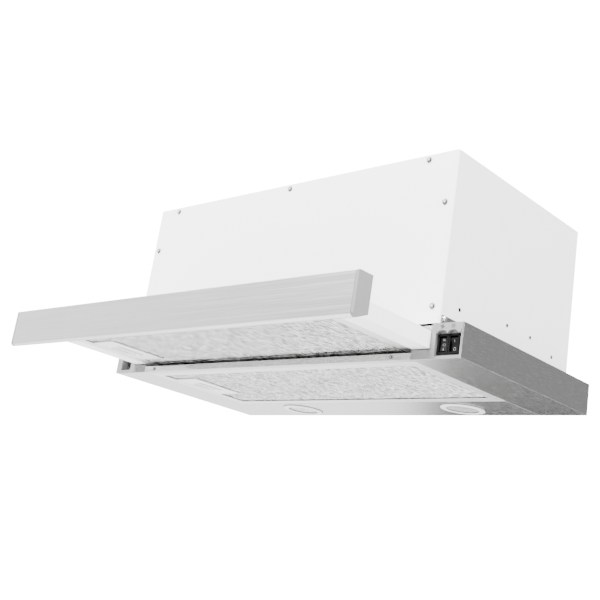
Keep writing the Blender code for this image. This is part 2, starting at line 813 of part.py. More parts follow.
def filter_cassette(prefix, half, front, base, latch_offset, axis, tab_places):
    """A grease filter: channel rim, mesh pack, latch pocket, sprung latch and its spring."""
    rear = front + FILTER_DEPTH
    top = base + FILTER_THICKNESS
    middle = (front + rear) / 2
    rim = block(prefix + "_filter_rim", (-half, front, base), (half, rear, top), ALUMINIUM)
    tabs = []
    for index, y in enumerate(tab_places):
        low = (half - 0.0005, y - 0.008, base + DRAWER_SHEET + GAP)
        high = (half + 0.0035, y + 0.008, base + 2 * DRAWER_SHEET + GAP)
        tabs.append(block(f"{prefix}_tab_{index}", low, high, ALUMINIUM))
    inset = half - FILTER_RIM
    window = ((-inset, front + FILTER_RIM, base - 0.01), (inset, rear - FILTER_RIM, top + 0.01))
    t = RIM_SHEET
    channel = ((-half + t, front + t, base + t), (half - t, rear - t, top - t))
    cut_boxes(prefix + "_window", [rim], [window])
    cut_boxes(prefix + "_channel", [rim], [channel])
    join(rim, *tabs)

    pocket_left = -half + FILTER_RIM + GAP
    pocket_right = pocket_left + LATCH_WIDTH
    latch_y = middle + latch_offset
    pocket_front = latch_y - LATCH_LENGTH / 2
    pocket_rear = latch_y + LATCH_LENGTH / 2
    mesh = block(
        prefix + "_filter_mesh",
        (-half + t + GAP, front + t + GAP, base + t + GAP),
        (half - t - GAP, rear - t - GAP, top - t - GAP),
        ALUMINIUM,
    )
    clear = (
        (-half, pocket_front - GAP, base - 0.01),
        (pocket_right + GAP, pocket_rear + GAP, top + 0.01),
    )
    cut_boxes(prefix + "_pocket_space", [mesh], [clear])

    tongue = 0.010
    pocket = block(
        prefix + "_latch_pocket",
        (pocket_left, pocket_front, base + GAP),
        (pocket_right, pocket_rear, top - GAP),
        ALUMINIUM,
    )
    slide_half = LATCH_RECESS[1] / 2 + 0.003
    slide_right = pocket_left + 0.022
    roof = top - 2 * GAP - 0.0008
    floor = base + GAP + 0.0006
    hollow = (
        (pocket_left - 0.01, latch_y - slide_half - GAP, floor - 0.01),
        (slide_right + LATCH_TRAVEL + GAP, latch_y + slide_half + GAP, roof),
    )
    spring_radius = 0.0022
    spring_middle = (floor + roof) / 2
    spring_end = pocket_right - 0.002
    spring_bore = (
        (slide_right, latch_y - spring_radius - 2 * GAP, spring_middle - spring_radius - 2 * GAP),
        (spring_end + GAP, latch_y + spring_radius + 2 * GAP, spring_middle + spring_radius + 2 * GAP),
    )
    cut_boxes(prefix + "_latch_space", [pocket], [hollow])
    cut_boxes(prefix + "_spring_space", [pocket], [spring_bore])
    reach = tongue / 2 + GAP
    passage = ((-half - 0.01, latch_y - reach, base + 0.002), (-half + 0.003, latch_y + reach, top - 0.002))
    cut_boxes(prefix + "_tongue_slot", [rim], [passage])

    latch = block(
        prefix + "_latch",
        (pocket_left + GAP, latch_y - slide_half, floor - 0.0006),
        (slide_right - GAP, latch_y + slide_half, roof - GAP),
        ALUMINIUM,
    )
    tongue_block = block(
        prefix + "_tongue",
        (-half, latch_y - tongue / 2, base + 0.002 + GAP),
        (pocket_left + 0.001, latch_y + tongue / 2, top - 0.002 - GAP),
        ALUMINIUM,
    )
    join(latch, tongue_block)
    width, length, depth = LATCH_RECESS
    centre = (pocket_left + slide_right) / 2
    straight = (length - width) / 2
    bm = bmesh.new()
    for y in (latch_y - straight, latch_y + straight):
        place = Matrix.Translation((centre, y, base - 0.01 + depth / 2))
        bmesh.ops.create_cone(
            bm,
            cap_ends=True,
            segments=20,
            radius1=width / 2,
            radius2=width / 2,
            depth=depth + 0.02,
            matrix=place,
        )
    ends = cutter(prefix + "_recess_ends", bm)
    combine(latch, ends)
    low = (centre - width / 2, latch_y - straight, base - 0.01)
    high = (centre + width / 2, latch_y + straight, base + depth)
    cut_boxes(prefix + "_recess_middle", [latch], [(low, high)])

    spring = coil(
        prefix + "_latch_spring", slide_right + GAP, spring_end - GAP, latch_y, spring_middle, spring_radius
    )
    slide = pivot(prefix + "_latch_axis", (centre, latch_y, spring_middle), latch)
    return pivot(prefix + "_filter_axis", axis, rim, mesh, pocket, spring, slide)


def coil(name, start, end, y, z, radius, turns=4, per_turn=8, wire=0.0003):
    """A compression spring along X, as a round wire on a helix."""
    curve = bpy.data.curves.new(name, "CURVE")
    curve.dimensions = "3D"
    curve.bevel_depth = wire
    curve.bevel_resolution = 1
    curve.use_fill_caps = True
    spline = curve.splines.new("POLY")
    count = turns * per_turn
    spline.points.add(count)
    length = end - start - 2 * wire
    for i, point in enumerate(spline.points):
        angle = 2 * math.pi * i / per_turn
        x = start + wire + length * i / count
        point.co = (x, y + (radius - wire) * math.cos(angle), z + (radius - wire) * math.sin(angle), 1.0)
    obj = bpy.data.objects.new(name, curve)
    parts.objects.link(obj)
    curve.materials.append(material(name, *ZINC))
    return obj


# Lamps


def lamp(side, name):
    x = side * LAMP_SPACING / 2
    lens_r = LAMP_LENS_RADIUS
    neck = lens_r + 0.003
    top = 0.0098
    bezel_profile = [
        (neck, 0.006),
        (neck, -GAP),
        (LAMP_RADIUS, -GAP),
        (LAMP_RADIUS, -0.0010),
        (LAMP_RADIUS - 0.0008, -0.0017),
        (lens_r - 0.0015, -0.0017),
        (lens_r - 0.0015, -0.0008),
        (lens_r + GAP, -0.0008),
        (lens_r + GAP, 0.006),
    ]
    turned(f"lamp_bezel_{name}", bezel_profile, (x, LAMP_Y, UNDER), (0, 0, 1), PALE_PLASTIC, 48, ring=True)
    lens_profile = [(0, 0.0022), (lens_r, 0.0022), (lens_r, -0.0008 + GAP), (0, -0.0008 + GAP)]
    turned(f"lamp_lens_{name}", lens_profile, (x, LAMP_Y, UNDER), (0, 0, 1), LENS, 48)
    body_profile = [(0, top), (neck - 0.002, top), (neck, top - 0.002), (neck, 0.006 + GAP), (0, 0.006 + GAP)]
    turned(f"lamp_module_{name}", body_profile, (x, LAMP_Y, UNDER), (0, 0, 1), ALUMINIUM, 32)


# Outlet collar


def outlet_collar():
    """The duct spigot: flange, round wall, the ledge the closed flaps rest on, and their two pins."""
    r = COLLAR_RADIUS
    w = COLLAR_WALL
    h = COLLAR_HEIGHT
    profile = [
        (r - 0.0005, h),
        (r, h - 0.002),
        (r, 0.002),
        (r + 0.012, 0.002),
        (r + 0.012, GAP),
        (r - 0.0045, GAP),
        (r - 0.0045, 0.006),
        (r - w, 0.006),
        (r - w, h),
    ]
    centre = (0, OUTLET_Y, HOUSING_TOP)
    collar = turned("outlet_collar", profile, centre, (0, 0, 1), DARK_PLASTIC, 48, ring=True)
    join(collar, flap_pins())
    return collar


def flap(name, side):
    """A half-round flap: its plate and the barrel that turns on the pin."""
    axis_y = OUTLET_Y + side * FLAP_SPREAD
    radius = COLLAR_RADIUS - COLLAR_WALL - 0.001
    hinge_line = FLAP_SPREAD
    reach = math.degrees(math.asin(hinge_line / radius))
    outline = arc((0, 0), radius, reach, 180 - reach, 24)
    outline = [(u, OUTLET_Y + side * v) for u, v in outline]
    if side < 0:
        outline.reverse()
    base = HOUSING_TOP + 0.006 + GAP
    plate = flat_part(name, outline, "xy", base, base + 0.0012, PALE_PLASTIC)
    half = math.sqrt(radius**2 - (hinge_line + FLAP_BARREL) ** 2) - 0.001
    bore_radius = FLAP_PIN_RADIUS + GAP
    profile = [(0, half), (FLAP_BARREL, half), (FLAP_BARREL, -half), (0, -half)]
    centre = (0, axis_y, HOUSING_TOP + FLAP_HEIGHT)
    barrel = turned(name + "_barrel", profile, centre, (1, 0, 0), PALE_PLASTIC, 12)
    join(plate, barrel)
    drill(name + "_bore", [plate], [centre], bore_radius, (1, 0, 0), 2 * half + 0.02, 12)
    pivot(name + "_axis", centre, plate)
    return plate


def flap_pins():
    """The two pins across the collar, their ends set into its wall."""
    bm = bmesh.new()
    length = 2 * math.sqrt((COLLAR_RADIUS - COLLAR_WALL / 2) ** 2 - FLAP_SPREAD**2)
    for side in (-1, 1):
        pin_centre = (0, OUTLET_Y + side * FLAP_SPREAD, HOUSING_TOP + FLAP_HEIGHT)
        place = Matrix.Translation(pin_centre) @ pointing((1, 0, 0))
        bmesh.ops.create_cone(
            bm,
            cap_ends=True,
            segments=12,
            radius1=FLAP_PIN_RADIUS,
            radius2=FLAP_PIN_RADIUS,
            depth=length,
            matrix=place,
        )
    return part("flap_pins", bm, ZINC, smooth=True)


# Blower


def scroll_outline(margin):
    """The scroll's section: a spiral round the impeller that leaves straight up through the outlet."""
    far = SCROLL_FAR + margin
    near = SCROLL_NEAR + margin
    top = HOUSING_TOP - HOUSING_SHEET - GAP - SCROLL_Z
    points = []
    steps = 27
    for i in range(steps + 1):
        share = i / steps
        angle = -share * math.radians(270)
        radius = far + (near - far) * share
        points.append((radius * math.cos(angle), radius * math.sin(angle)))
    points[-1] = (-margin, near)
    points += [(-margin, top), (far, top)]
    return [(SCROLL_Y + y, SCROLL_Z + z) for y, z in points]


def scroll_half(name, side):
    """Half of the scroll: a side cheek with the inlet, and half the width of the spiral wall."""
    outer = side * SCROLL_WIDTH / 2
    inner = side * GAP / 2
    shell = flat_part(name, scroll_outline(SCROLL_WALL), "yz", inner, outer, DARK_PLASTIC)
    hollow = flat_part(
        name + "_hollow",
        hollow_outline(),
        "yz",
        inner - side * 0.01,
        outer - side * SCROLL_WALL,
        DARK_PLASTIC,
    )
    as_tool(hollow)
    combine(shell, hollow)
    drill(name + "_inlet", [shell], [(outer, SCROLL_Y, SCROLL_Z)], INLET_RADIUS, (1, 0, 0), 0.02, 40)
    return shell


def hollow_outline():
    """The inside of the scroll, which runs on out of its top."""
    points = scroll_outline(0.0)
    return [(y, z + 0.01) if z > SCROLL_Z + SCROLL_NEAR + 0.001 else (y, z) for y, z in points]


def impeller_half(name, side):
    """One half of the double-inlet wheel: its hub, disc, blades and end ring."""
    centre = (0, SCROLL_Y, SCROLL_Z)
    r = IMPELLER_RADIUS
    inner = r - 0.010
    hub = 0.010
    bore = SHAFT_RADIUS + GAP / 2
    face = GAP / 2
    disc = face + 0.0015
    end = IMPELLER_WIDTH / 2
    outline = [(r, face), (r, disc), (hub, disc), (hub, 0.008), (bore, 0.008), (bore, face)]
    profile = [(radius, side * along) for radius, along in outline]
    wheel = turned(name, profile, centre, (1, 0, 0), DARK_PLASTIC, 48, ring=True)
    outline = [(r, end), (r, end - 0.002), (inner, end - 0.002), (inner, end)]
    profile = [(radius, side * along) for radius, along in outline]
    join(wheel, turned(name + "_ring", profile, centre, (1, 0, 0), DARK_PLASTIC, 48, ring=True))
    bm = bmesh.new()
    blades = 24
    near = face + 0.0005
    far = end - 0.001
    for i in range(blades):
        turn = Matrix.Rotation(2 * math.pi * i / blades, 4, "X")
        lean = Matrix.Rotation(math.radians(35), 4, "X")
        place = turn @ Matrix.Translation((side * (near + far) / 2, 0, r - 0.0055)) @ lean
        size = Matrix.Diagonal((far - near, 0.0010, 0.0085, 1.0))
        bmesh.ops.create_cube(bm, size=1.0, matrix=place @ size)
    bmesh.ops.translate(bm, verts=bm.verts, vec=centre)
    combine(wheel, cutter(name + "_blades", bm), "UNION")
    return wheel


def motor_shaft():
    bm = bmesh.new()
    start = -0.012
    end = SCROLL_WIDTH / 2 - 0.006
    place = Matrix.Translation(((start + end) / 2, SCROLL_Y, SCROLL_Z)) @ pointing((1, 0, 0))
    bmesh.ops.create_cone(
        bm,
        cap_ends=True,
        segments=20,
        radius1=SHAFT_RADIUS,
        radius2=SHAFT_RADIUS,
        depth=end - start,
        matrix=place,
    )
    return part("motor_shaft", bm, ZINC, smooth=True)


def motor():
    """The motor can inside one half of the wheel, with a blind bore for the shaft."""
    end = SCROLL_WIDTH / 2 - MOTOR_START
    r = MOTOR_RADIUS
    bore = SHAFT_RADIUS + GAP
    profile = [
        (0.0, end),
        (r, end),
        (r, 0.004),
        (r - 0.004, 0.0),
        (bore, 0.0),
        (bore, end - 0.004),
        (0.0, end - 0.004),
    ]
    return turned("motor", profile, (MOTOR_START, SCROLL_Y, SCROLL_Z), (1, 0, 0), ZINC, 40)


def motor_bracket():
    """A flat spider that carries the motor across the inlet."""
    start = SCROLL_WIDTH / 2 + GAP
    rim = INLET_RADIUS + 0.008
    hub = MOTOR_RADIUS - 0.006
    arm = math.radians(9)
    near = arm * rim / hub
    third = 2 * math.pi / 3
    outline = []
    for i in range(3):
        middle = third * i
        corners = [(hub, -near), (rim, -arm), (rim, arm), (hub, near)]
        corners += [(hub, near + (third - 2 * near) * j / 5) for j in range(1, 5)]
        for radius, angle in corners:
            outline.append((radius * math.cos(middle + angle), radius * math.sin(middle + angle)))
    outline = [(SCROLL_Y + u, SCROLL_Z + v) for u, v in outline]
    return flat_part("motor_bracket", outline, "yz", start, start + 0.002, ZINC)


def capacitor():
    top = HOUSING_TOP - HOUSING_SHEET
    profile = [(0, 0.055), (0.013, 0.055), (0.014, 0.054), (0.014, 0.001), (0.013, 0), (0, 0)]
    turned("capacitor", profile, (0.085, FRONT + 0.060, top - 0.0185), (1, 0, 0), PALE_PLASTIC, 24)
    low = (0.105, FRONT + 0.042, top - 0.036)
    high = (0.119, FRONT + 0.078, top - GAP)
    clip = block("capacitor_clip", low, high, ZINC)
    centre = (0.112, FRONT + 0.060, top - 0.0185)
    drill("capacitor_clip_bore", [clip], [centre], 0.014 + GAP, (1, 0, 0), 0.03, 24)


# Connection box, gland and loom


def terminal_box():
    top = HOUSING_TOP - HOUSING_SHEET - GAP
    x, y = TERMINAL
    low = (x - 0.04, y - 0.035, top - 0.032)
    box = block("terminal_box", low, (x + 0.04, y + 0.035, top), PALE_PLASTIC, 0.002)
    return box


def cable_gland(wrap, box):
    """The grommet in the top where the supply cable enters, over the connection box."""
    x, y = TERMINAL
    profile = [
        (0.0095, 0.004),
        (0.0105, 0.003),
        (0.0105, GAP),
        (0.0080, GAP),
        (0.0080, -0.006),
        (0.0035, -0.006),
        (0.0035, 0.004),
    ]
    turned("cable_gland", profile, (x, y, HOUSING_TOP), (0, 0, 1), RUBBER, 24, ring=True)
    drill("gland_hole", [wrap, box], [(x, y, HOUSING_TOP)], 0.0080 + GAP, (0, 0, 1), 0.016, 24)


def wiring_loom():
    """The fixed loom from the switches over the drawer and along the top to the connection box."""
    switch_x = SWITCH_LEFT + SWITCH_WIDTH
    x, y = TERMINAL
    behind = FRONT + BLOCK_DEPTH + 0.0030
    over = (DRAWER_TOP - HOUSING_DROP) / 2
    top = HOUSING_TOP - 0.012
    route = [
        (switch_x, behind, SWITCH_MIDDLE),
        (switch_x - 0.001, behind, SWITCH_MIDDLE + 0.008),
        (switch_x - 0.010, behind, over),
        (BLOCK_INNER - 0.006, behind, over),
        (HOUSING_HALF - HOUSING_FLANGE - 0.006, behind, over + 0.003),
        (HOUSING_HALF - HOUSING_FLANGE - 0.016, behind, 0.030),
        (HOUSING_HALF - HOUSING_FLANGE - 0.020, behind, 0.100),
        (HOUSING_HALF - HOUSING_FLANGE - 0.040, behind - 0.004, top - 0.03),
        (0.150, behind - 0.009, top - 0.005),
        (0.050, behind - 0.010, top),
        (-0.060, behind - 0.010, top),
        (-0.120, behind + 0.020, top),
        (x, y - 0.090, top - 0.004),
        (x, y - 0.035 - GAP, top - 0.006),
    ]
    points = smooth_route(route, 5)
    curve = bpy.data.curves.new("wiring_loom", "CURVE")
    curve.dimensions = "3D"
    curve.bevel_depth = 0.0018
    curve.bevel_resolution = 2
    curve.use_fill_caps = True
    spline = curve.splines.new("POLY")
    spline.points.add(len(points) - 1)
    for point, place in zip(spline.points, points):
        point.co = (*place, 1.0)
    obj = bpy.data.objects.new("wiring_loom", curve)
    parts.objects.link(obj)
    curve.materials.append(material("wiring_loom", *DARK_PLASTIC))
    return obj


def smooth_route(route, per_span):
    """Points on a Catmull-Rom curve through the route."""
    knots = [Vector(place) for place in route]
    knots = [2 * knots[0] - knots[1]] + knots + [2 * knots[-1] - knots[-2]]
    points = []
    for a, b, c, d in zip(knots, knots[1:], knots[2:], knots[3:]):
        for i in range(per_span):
            t = i / per_span
            points.append(
                0.5
                * (2 * b + (c - a) * t + (2 * a - 5 * b + 4 * c - d) * t**2 + (3 * b - a - 3 * c + d) * t**3)
            )
    points.append(knots[-2])
    return points


# Assembly

clear_scene()
parts = collection("range_hood")
cutters = collection("cutters")

rail_right = side_rail("side_rail_right", 1)
rail_left = side_rail("side_rail_left", -1)
lamp_panel()
crossbar()
control_block()
end_block()
switch("fan", 0, 0.0)
switch("lamp", 1, ROCKER_ANGLE)

wrap_sheet = housing_wrap()
side_holes(wrap_sheet)
cover_sheet = front_cover()
cover_strips = cover_angles()
rear_panel()
cover_rivets(cover_sheet, cover_strips)
rail_screw("rail_screw_right", [wrap_sheet, rail_right, cover_strips[0]], 1)
rail_screw("rail_screw_left", [wrap_sheet, rail_left, cover_strips[1]], -1)

drawer_pieces = [
    drawer_frame(),
    fascia(),
    end_cap("end_cap_right", 1),
    end_cap("end_cap_left", -1),
    runner("runner_right", 1),
    runner("runner_left", -1),
]
drawer_guide("guide_right", 1)
drawer_guide("guide_left", -1)
front_filter = filter_cassette(
    "front",
    DRAWER_OPENING_HALF - FILTER_CLEARANCE,
    FRONT_FILTER_FRONT,
    DRAWER_BASE,
    -0.006,
    (0, FRONT - 0.001, DRAWER_BASE),
    (),
)
rear_half = UNDER_OPENING_HALF - FILTER_CLEARANCE
rear_middle = REAR_FILTER_FRONT + FILTER_DEPTH / 2
filter_cassette(
    "rear",
    rear_half,
    REAR_FILTER_FRONT,
    UNDER,
    -0.012,
    (rear_half, rear_middle, UNDER),
    (rear_middle - 0.05, rear_middle + 0.05),
)
pivot("drawer_axis", (0, FASCIA_BACK, DRAWER_BASE), *drawer_pieces, front_filter)

lamp(-1, "left")
lamp(1, "right")

outlet_collar()
flap("flap_front", -1)
flap("flap_rear", 1)

scroll_half("scroll_left", -1)
scroll_half("scroll_right", 1)
left_wheel = impeller_half("impeller_left", -1)
right_wheel = impeller_half("impeller_right", 1)
shaft_piece = motor_shaft()
pivot("impeller_axis", (0, SCROLL_Y, SCROLL_Z), left_wheel, right_wheel, shaft_piece)
motor()
motor_bracket()
capacitor()
connection = terminal_box()
cable_gland(wrap_sheet, connection)
wiring_loom()
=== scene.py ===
# %% [markdown]
# A slide-out cooker hood for a 60 cm wall cabinet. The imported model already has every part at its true
# size and place, so this lesson only gives it its looks: finer shapes where an edge or a pattern shows,
# and a finish for every surface. Loading the frame comes first, because each new piece takes its place
# from a part's box and then rides on that part's body.

# %% Load the frame
import json
import math

import bpy
from mathutils import Matrix, Vector


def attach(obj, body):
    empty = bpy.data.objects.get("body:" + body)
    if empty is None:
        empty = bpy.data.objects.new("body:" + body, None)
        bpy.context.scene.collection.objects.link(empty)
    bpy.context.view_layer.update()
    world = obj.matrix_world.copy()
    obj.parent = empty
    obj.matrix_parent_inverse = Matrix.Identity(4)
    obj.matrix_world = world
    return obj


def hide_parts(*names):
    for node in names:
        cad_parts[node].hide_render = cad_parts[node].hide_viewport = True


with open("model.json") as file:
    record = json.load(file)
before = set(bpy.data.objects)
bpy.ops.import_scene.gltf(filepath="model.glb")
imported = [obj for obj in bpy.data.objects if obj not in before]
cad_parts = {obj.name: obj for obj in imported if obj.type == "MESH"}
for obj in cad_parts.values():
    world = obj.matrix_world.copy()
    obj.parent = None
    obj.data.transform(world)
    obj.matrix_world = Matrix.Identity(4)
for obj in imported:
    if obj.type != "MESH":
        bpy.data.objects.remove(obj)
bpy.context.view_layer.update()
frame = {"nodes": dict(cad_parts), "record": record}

# %% [markdown]
# The hood is looked at from below and from the switch side, as by someone who bends down at the cooker.
# A camera is easiest to place by a spot that it looks at and a spot that it stands on. Here it is also
# turned a little about its own axis, so the matrix is put together from three directions: right, up and
# backwards.

# %% Camera
camera_data = bpy.data.cameras.new("Camera")
camera_data.lens = 61.68
camera_data.sensor_width = 36.0
camera = bpy.data.objects.new("Camera", camera_data)
bpy.context.scene.collection.objects.link(camera)

camera_place = Vector((0.9166, -1.1392, -0.2961))
look_at = Vector((-0.0066, -0.2195, 0.0658))
roll = math.radians(9.034)

backwards = (camera_place - look_at).normalized()
level_right = Vector((0, 0, 1)).cross(backwards).normalized()
level_up = backwards.cross(level_right)
right = level_right * math.cos(roll) + level_up * math.sin(roll)
up = level_up * math.cos(roll) - level_right * math.sin(roll)
turn = Matrix((right, up, backwards)).transposed()
camera.matrix_world = Matrix.Translation(camera_place) @ turn.to_4x4()
bpy.context.scene.camera = camera
print("camera stands", round((camera_place - look_at).length, 3), "m from the hood")

# %% [markdown]
# A studio for a steel and white object is mostly white. The floor is pale and lies far below. Steel shows
# nothing but what is around it, so the walls of the studio aren't all alike: they are brightest at the
# left and darkest behind the hood on the right, and steel takes its shading from that. The world shader
# does the walls with the direction that light comes from. The backdrop that the camera sees is plain
# white, which the Light Path node keeps apart from the walls.

# %% Floor
def deselect_all():
    """Operators act on all that is selected, so each piece starts with an empty selection."""
    if bpy.context.object and bpy.context.object.mode != "OBJECT":
        bpy.ops.object.mode_set(mode="OBJECT")
    bpy.ops.object.select_all(action="DESELECT")


deselect_all()
bpy.ops.mesh.primitive_circle_add(vertices=96, radius=3.2, fill_type="NGON", location=(0, -0.2, -1.35))
floor = bpy.context.object
floor.name = "studio_floor"
floor_paint = bpy.data.materials.new("studio_floor_paint")
floor_paint.use_nodes = True
floor_paint.node_tree.nodes["Principled BSDF"].inputs["Base Color"].default_value = (0.78, 0.78, 0.77, 1)
floor_paint.node_tree.nodes["Principled BSDF"].inputs["Roughness"].default_value = 0.8
floor.data.materials.append(floor_paint)
print("the floor lies", floor.location.z, "m from the hood's underside")

# %% Studio walls
world = bpy.data.worlds.new("studio")
world.use_nodes = True
bpy.context.scene.world = world
walls = world.node_tree
background = walls.nodes["Background"]
background.inputs["Color"].default_value = (1.0, 1.0, 1.0, 1)


def wall_node(kind, **settings):
    """A node of the world's shader, with some of its settings."""
    node = walls.nodes.new(kind)
    for name, value in settings.items():
        setattr(node, name, value)
    return node


def wall_ramp(source, low, high, to_low, to_high):
    """A smooth step between two values of a direction's component."""
    step = wall_node("ShaderNodeMapRange", interpolation_type="SMOOTHSTEP")
    for socket, value in (("From Min", low), ("From Max", high), ("To Min", to_low), ("To Max", to_high)):
        step.inputs[socket].default_value = value
    walls.links.new(source, step.inputs["Value"])
    return step.outputs["Result"]


def wall_maths(operation, *values):
    """Maths on numbers and on other nodes' outputs."""
    node = wall_node("ShaderNodeMath", operation=operation)
    for socket, value in zip(node.inputs, values):
        if isinstance(value, (int, float)):
            socket.default_value = value
        else:
            walls.links.new(value, socket)
    return node.outputs["Value"]


direction = wall_node("ShaderNodeSeparateXYZ")
walls.links.new(wall_node("ShaderNodeTexCoord").outputs["Generated"], direction.inputs["Vector"])
x_of, y_of, z_of = (direction.outputs[axis] for axis in "XYZ")

behind = wall_ramp(y_of, 0.0, 0.5, 0.0, 1.0)
left_glow = wall_ramp(x_of, -0.575, -0.62, 0.0, 1.0)
front_wall = wall_ramp(x_of, -0.5, -0.95, 0.9, 2.8)
back_wall = wall_maths("MULTIPLY_ADD", left_glow, 2.9, wall_ramp(x_of, -0.3, 0.3, 0.06, 0.42))
back_share = wall_maths("MULTIPLY", behind, back_wall)
front_share = wall_maths("MULTIPLY", wall_maths("SUBTRACT", 1.0, behind), front_wall)
overhead = wall_ramp(z_of, 0.45, 0.9, 0.0, 2.2)
below = wall_ramp(z_of, -0.5, -0.95, 0.0, 0.8)
level_light = wall_maths("ADD", back_share, front_share)
walls_light = wall_maths("ADD", level_light, wall_maths("ADD", overhead, below))
seen = wall_node("ShaderNodeLightPath").outputs["Is Camera Ray"]
backdrop = wall_maths("MULTIPLY", seen, 18.0)
unseen = wall_maths("MULTIPLY", wall_maths("SUBTRACT", 1.0, seen), walls_light)
walls.links.new(wall_maths("ADD", backdrop, unseen), background.inputs["Strength"])
print(len(walls.nodes), "nodes shade the studio's walls")

# %% [markdown]
# White paint takes its shade from large soft lights and not from the walls. One hangs high in front and
# gives the cover its even white. A weaker one is on the switch side, so that this side is a little
# darker and the edge between the two can be seen.

# %% Lights
def area_light(name, place, aim, size, watts):
    """A square soft light that points at a spot."""
    data = bpy.data.lights.new(name, "AREA")
    data.size = size
    data.energy = watts
    lamp = bpy.data.objects.new(name, data)
    bpy.context.scene.collection.objects.link(lamp)
    direction = Vector(aim) - Vector(place)
    lamp.matrix_world = Matrix.Translation(place) @ direction.to_track_quat("-Z", "Y").to_matrix().to_4x4()
    return lamp


area_light("key_light", (-0.4, -2.2, 2.4), (0, -0.2, 0.05), 1.2, 640)
area_light("side_light", (2.5, -0.5, 1.3), (0, -0.15, 0.05), 1.0, 215)
print("two soft lights and the studio walls")

# %% [markdown]
# A finish is a small network of nodes. Every network here starts in the same way: Object coordinates,
# which are metres on this hood, go through a Mapping node that stretches them, and then into a noise.
# Two helpers make that start, so that each finish below only says what is special about it.

# %% Node helpers
def new_finish(name, colour, roughness, metallic=0.0):
    """A material with its Principled shader's plain values set."""
    made = bpy.data.materials.new(name)
    made.use_nodes = True
    shader = made.node_tree.nodes["Principled BSDF"]
    shader.inputs["Base Color"].default_value = (*colour, 1)
    shader.inputs["Roughness"].default_value = roughness
    shader.inputs["Metallic"].default_value = metallic
    made.diffuse_color = (*colour, 1)
    return made, shader


def stretched_noise(made, scale, detail=3.0):
    """Noise on Object coordinates, with a scale along each axis in cells per metre."""
    nodes, links = made.node_tree.nodes, made.node_tree.links
    coordinates = nodes.new("ShaderNodeTexCoord")
    mapping = nodes.new("ShaderNodeMapping")
    mapping.inputs["Scale"].default_value = scale
    noise = nodes.new("ShaderNodeTexNoise")
    noise.inputs["Scale"].default_value = 1.0
    noise.inputs["Detail"].default_value = detail
    links.new(coordinates.outputs["Object"], mapping.inputs["Vector"])
    links.new(mapping.outputs["Vector"], noise.inputs["Vector"])
    return noise.outputs["Fac"]


def tint(made, shader, factor, dark, light, low=0.3, high=0.7):
    """Colours the shader between two shades by a factor."""
    ramp = made.node_tree.nodes.new("ShaderNodeValToRGB")
    ramp.color_ramp.elements[0].position = low
    ramp.color_ramp.elements[0].color = (*dark, 1)
    ramp.color_ramp.elements[1].position = high
    ramp.color_ramp.elements[1].color = (*light, 1)
    made.node_tree.links.new(factor, ramp.inputs["Fac"])
    made.node_tree.links.new(ramp.outputs["Color"], shader.inputs["Base Color"])


def spread(made, shader, factor, socket, low, high):
    """Drives a shader value, such as the roughness, between two limits by a factor."""
    reach = made.node_tree.nodes.new("ShaderNodeMapRange")
    reach.inputs["From Min"].default_value = 0.3
    reach.inputs["From Max"].default_value = 0.7
    reach.inputs["To Min"].default_value = low
    reach.inputs["To Max"].default_value = high
    made.node_tree.links.new(factor, reach.inputs["Value"])
    made.node_tree.links.new(reach.outputs["Result"], shader.inputs[socket])


def relief(made, shader, factor, height, strength):
    """Adds a bump whose full height is in metres."""
    bump = made.node_tree.nodes.new("ShaderNodeBump")
    bump.inputs["Distance"].default_value = height
    bump.inputs["Strength"].default_value = strength
    made.node_tree.links.new(factor, bump.inputs["Height"])
    made.node_tree.links.new(bump.outputs["Normal"], shader.inputs["Normal"])


print("helpers for noise, tint, spread and relief")

# %% [markdown]
# Brushed stainless steel has fine scratches that all run one way: along the bar on the fascia and the
# front bar, and front to back on the side strips. A noise that is stretched a hundred times along the
# brushing does it. It moves the shade, the roughness and a bump a few micrometres high, and the bump
# smears reflections across the grain as the real scratches do.

# %% Brushed steel
def brushed(name, colour, across, roughness, depth):
    """Steel brushed along the axis whose scale is smallest."""
    made, shader = new_finish(name, colour, roughness, 1.0)
    grain = stretched_noise(made, across, 4.0)
    dark = tuple(c * 0.93 for c in colour)
    light = tuple(min(1.0, c * 1.05) for c in colour)
    tint(made, shader, grain, dark, light)
    spread(made, shader, grain, "Roughness", roughness - 0.05, roughness + 0.06)
    relief(made, shader, grain, 0.00002, depth)
    return made


steel_across = brushed("steel_brushed_across", (0.58, 0.58, 0.575), (60, 4200, 4200), 0.23, 0.12)
steel_lengthwise = brushed("steel_brushed_lengthwise", (0.57, 0.57, 0.565), (4200, 60, 4200), 0.22, 0.10)
fascia_steel = brushed("steel_fascia", (0.64, 0.64, 0.635), (7, 900, 900), 0.36, 0.16)
print("brushed steel in two directions")

# %% [markdown]
# The housing and the drawer are powder coated: a white skin with a very fine orange peel. A noise with
# cells of about a millimetre, as a bump of a few hundredths, breaks up the highlight.

# %% Powder coat
def powder_coat(name, colour, roughness=0.42):
    """Baked paint with orange peel and a hint of uneven shade."""
    made, shader = new_finish(name, colour, roughness)
    peel = stretched_noise(made, (700, 700, 700), 2.0)
    relief(made, shader, peel, 0.00008, 0.22)
    clouds = stretched_noise(made, (9, 9, 9), 3.0)
    tint(made, shader, clouds, tuple(c * 0.985 for c in colour), colour)
    spread(made, shader, peel, "Roughness", roughness - 0.03, roughness + 0.05)
    return made


housing_white = powder_coat("housing_white", (0.83, 0.83, 0.825))
drawer_white = powder_coat("drawer_white", (0.93, 0.93, 0.93), 0.36)
print("powder coat for the housing and the drawer")

# %% [markdown]
# Moulded plastic has a fine spark-eroded grain from its tool. The same recipe serves the grey end
# blocks, the black switches, the pale lamp rings and the blower, with a shade and a gloss for each.

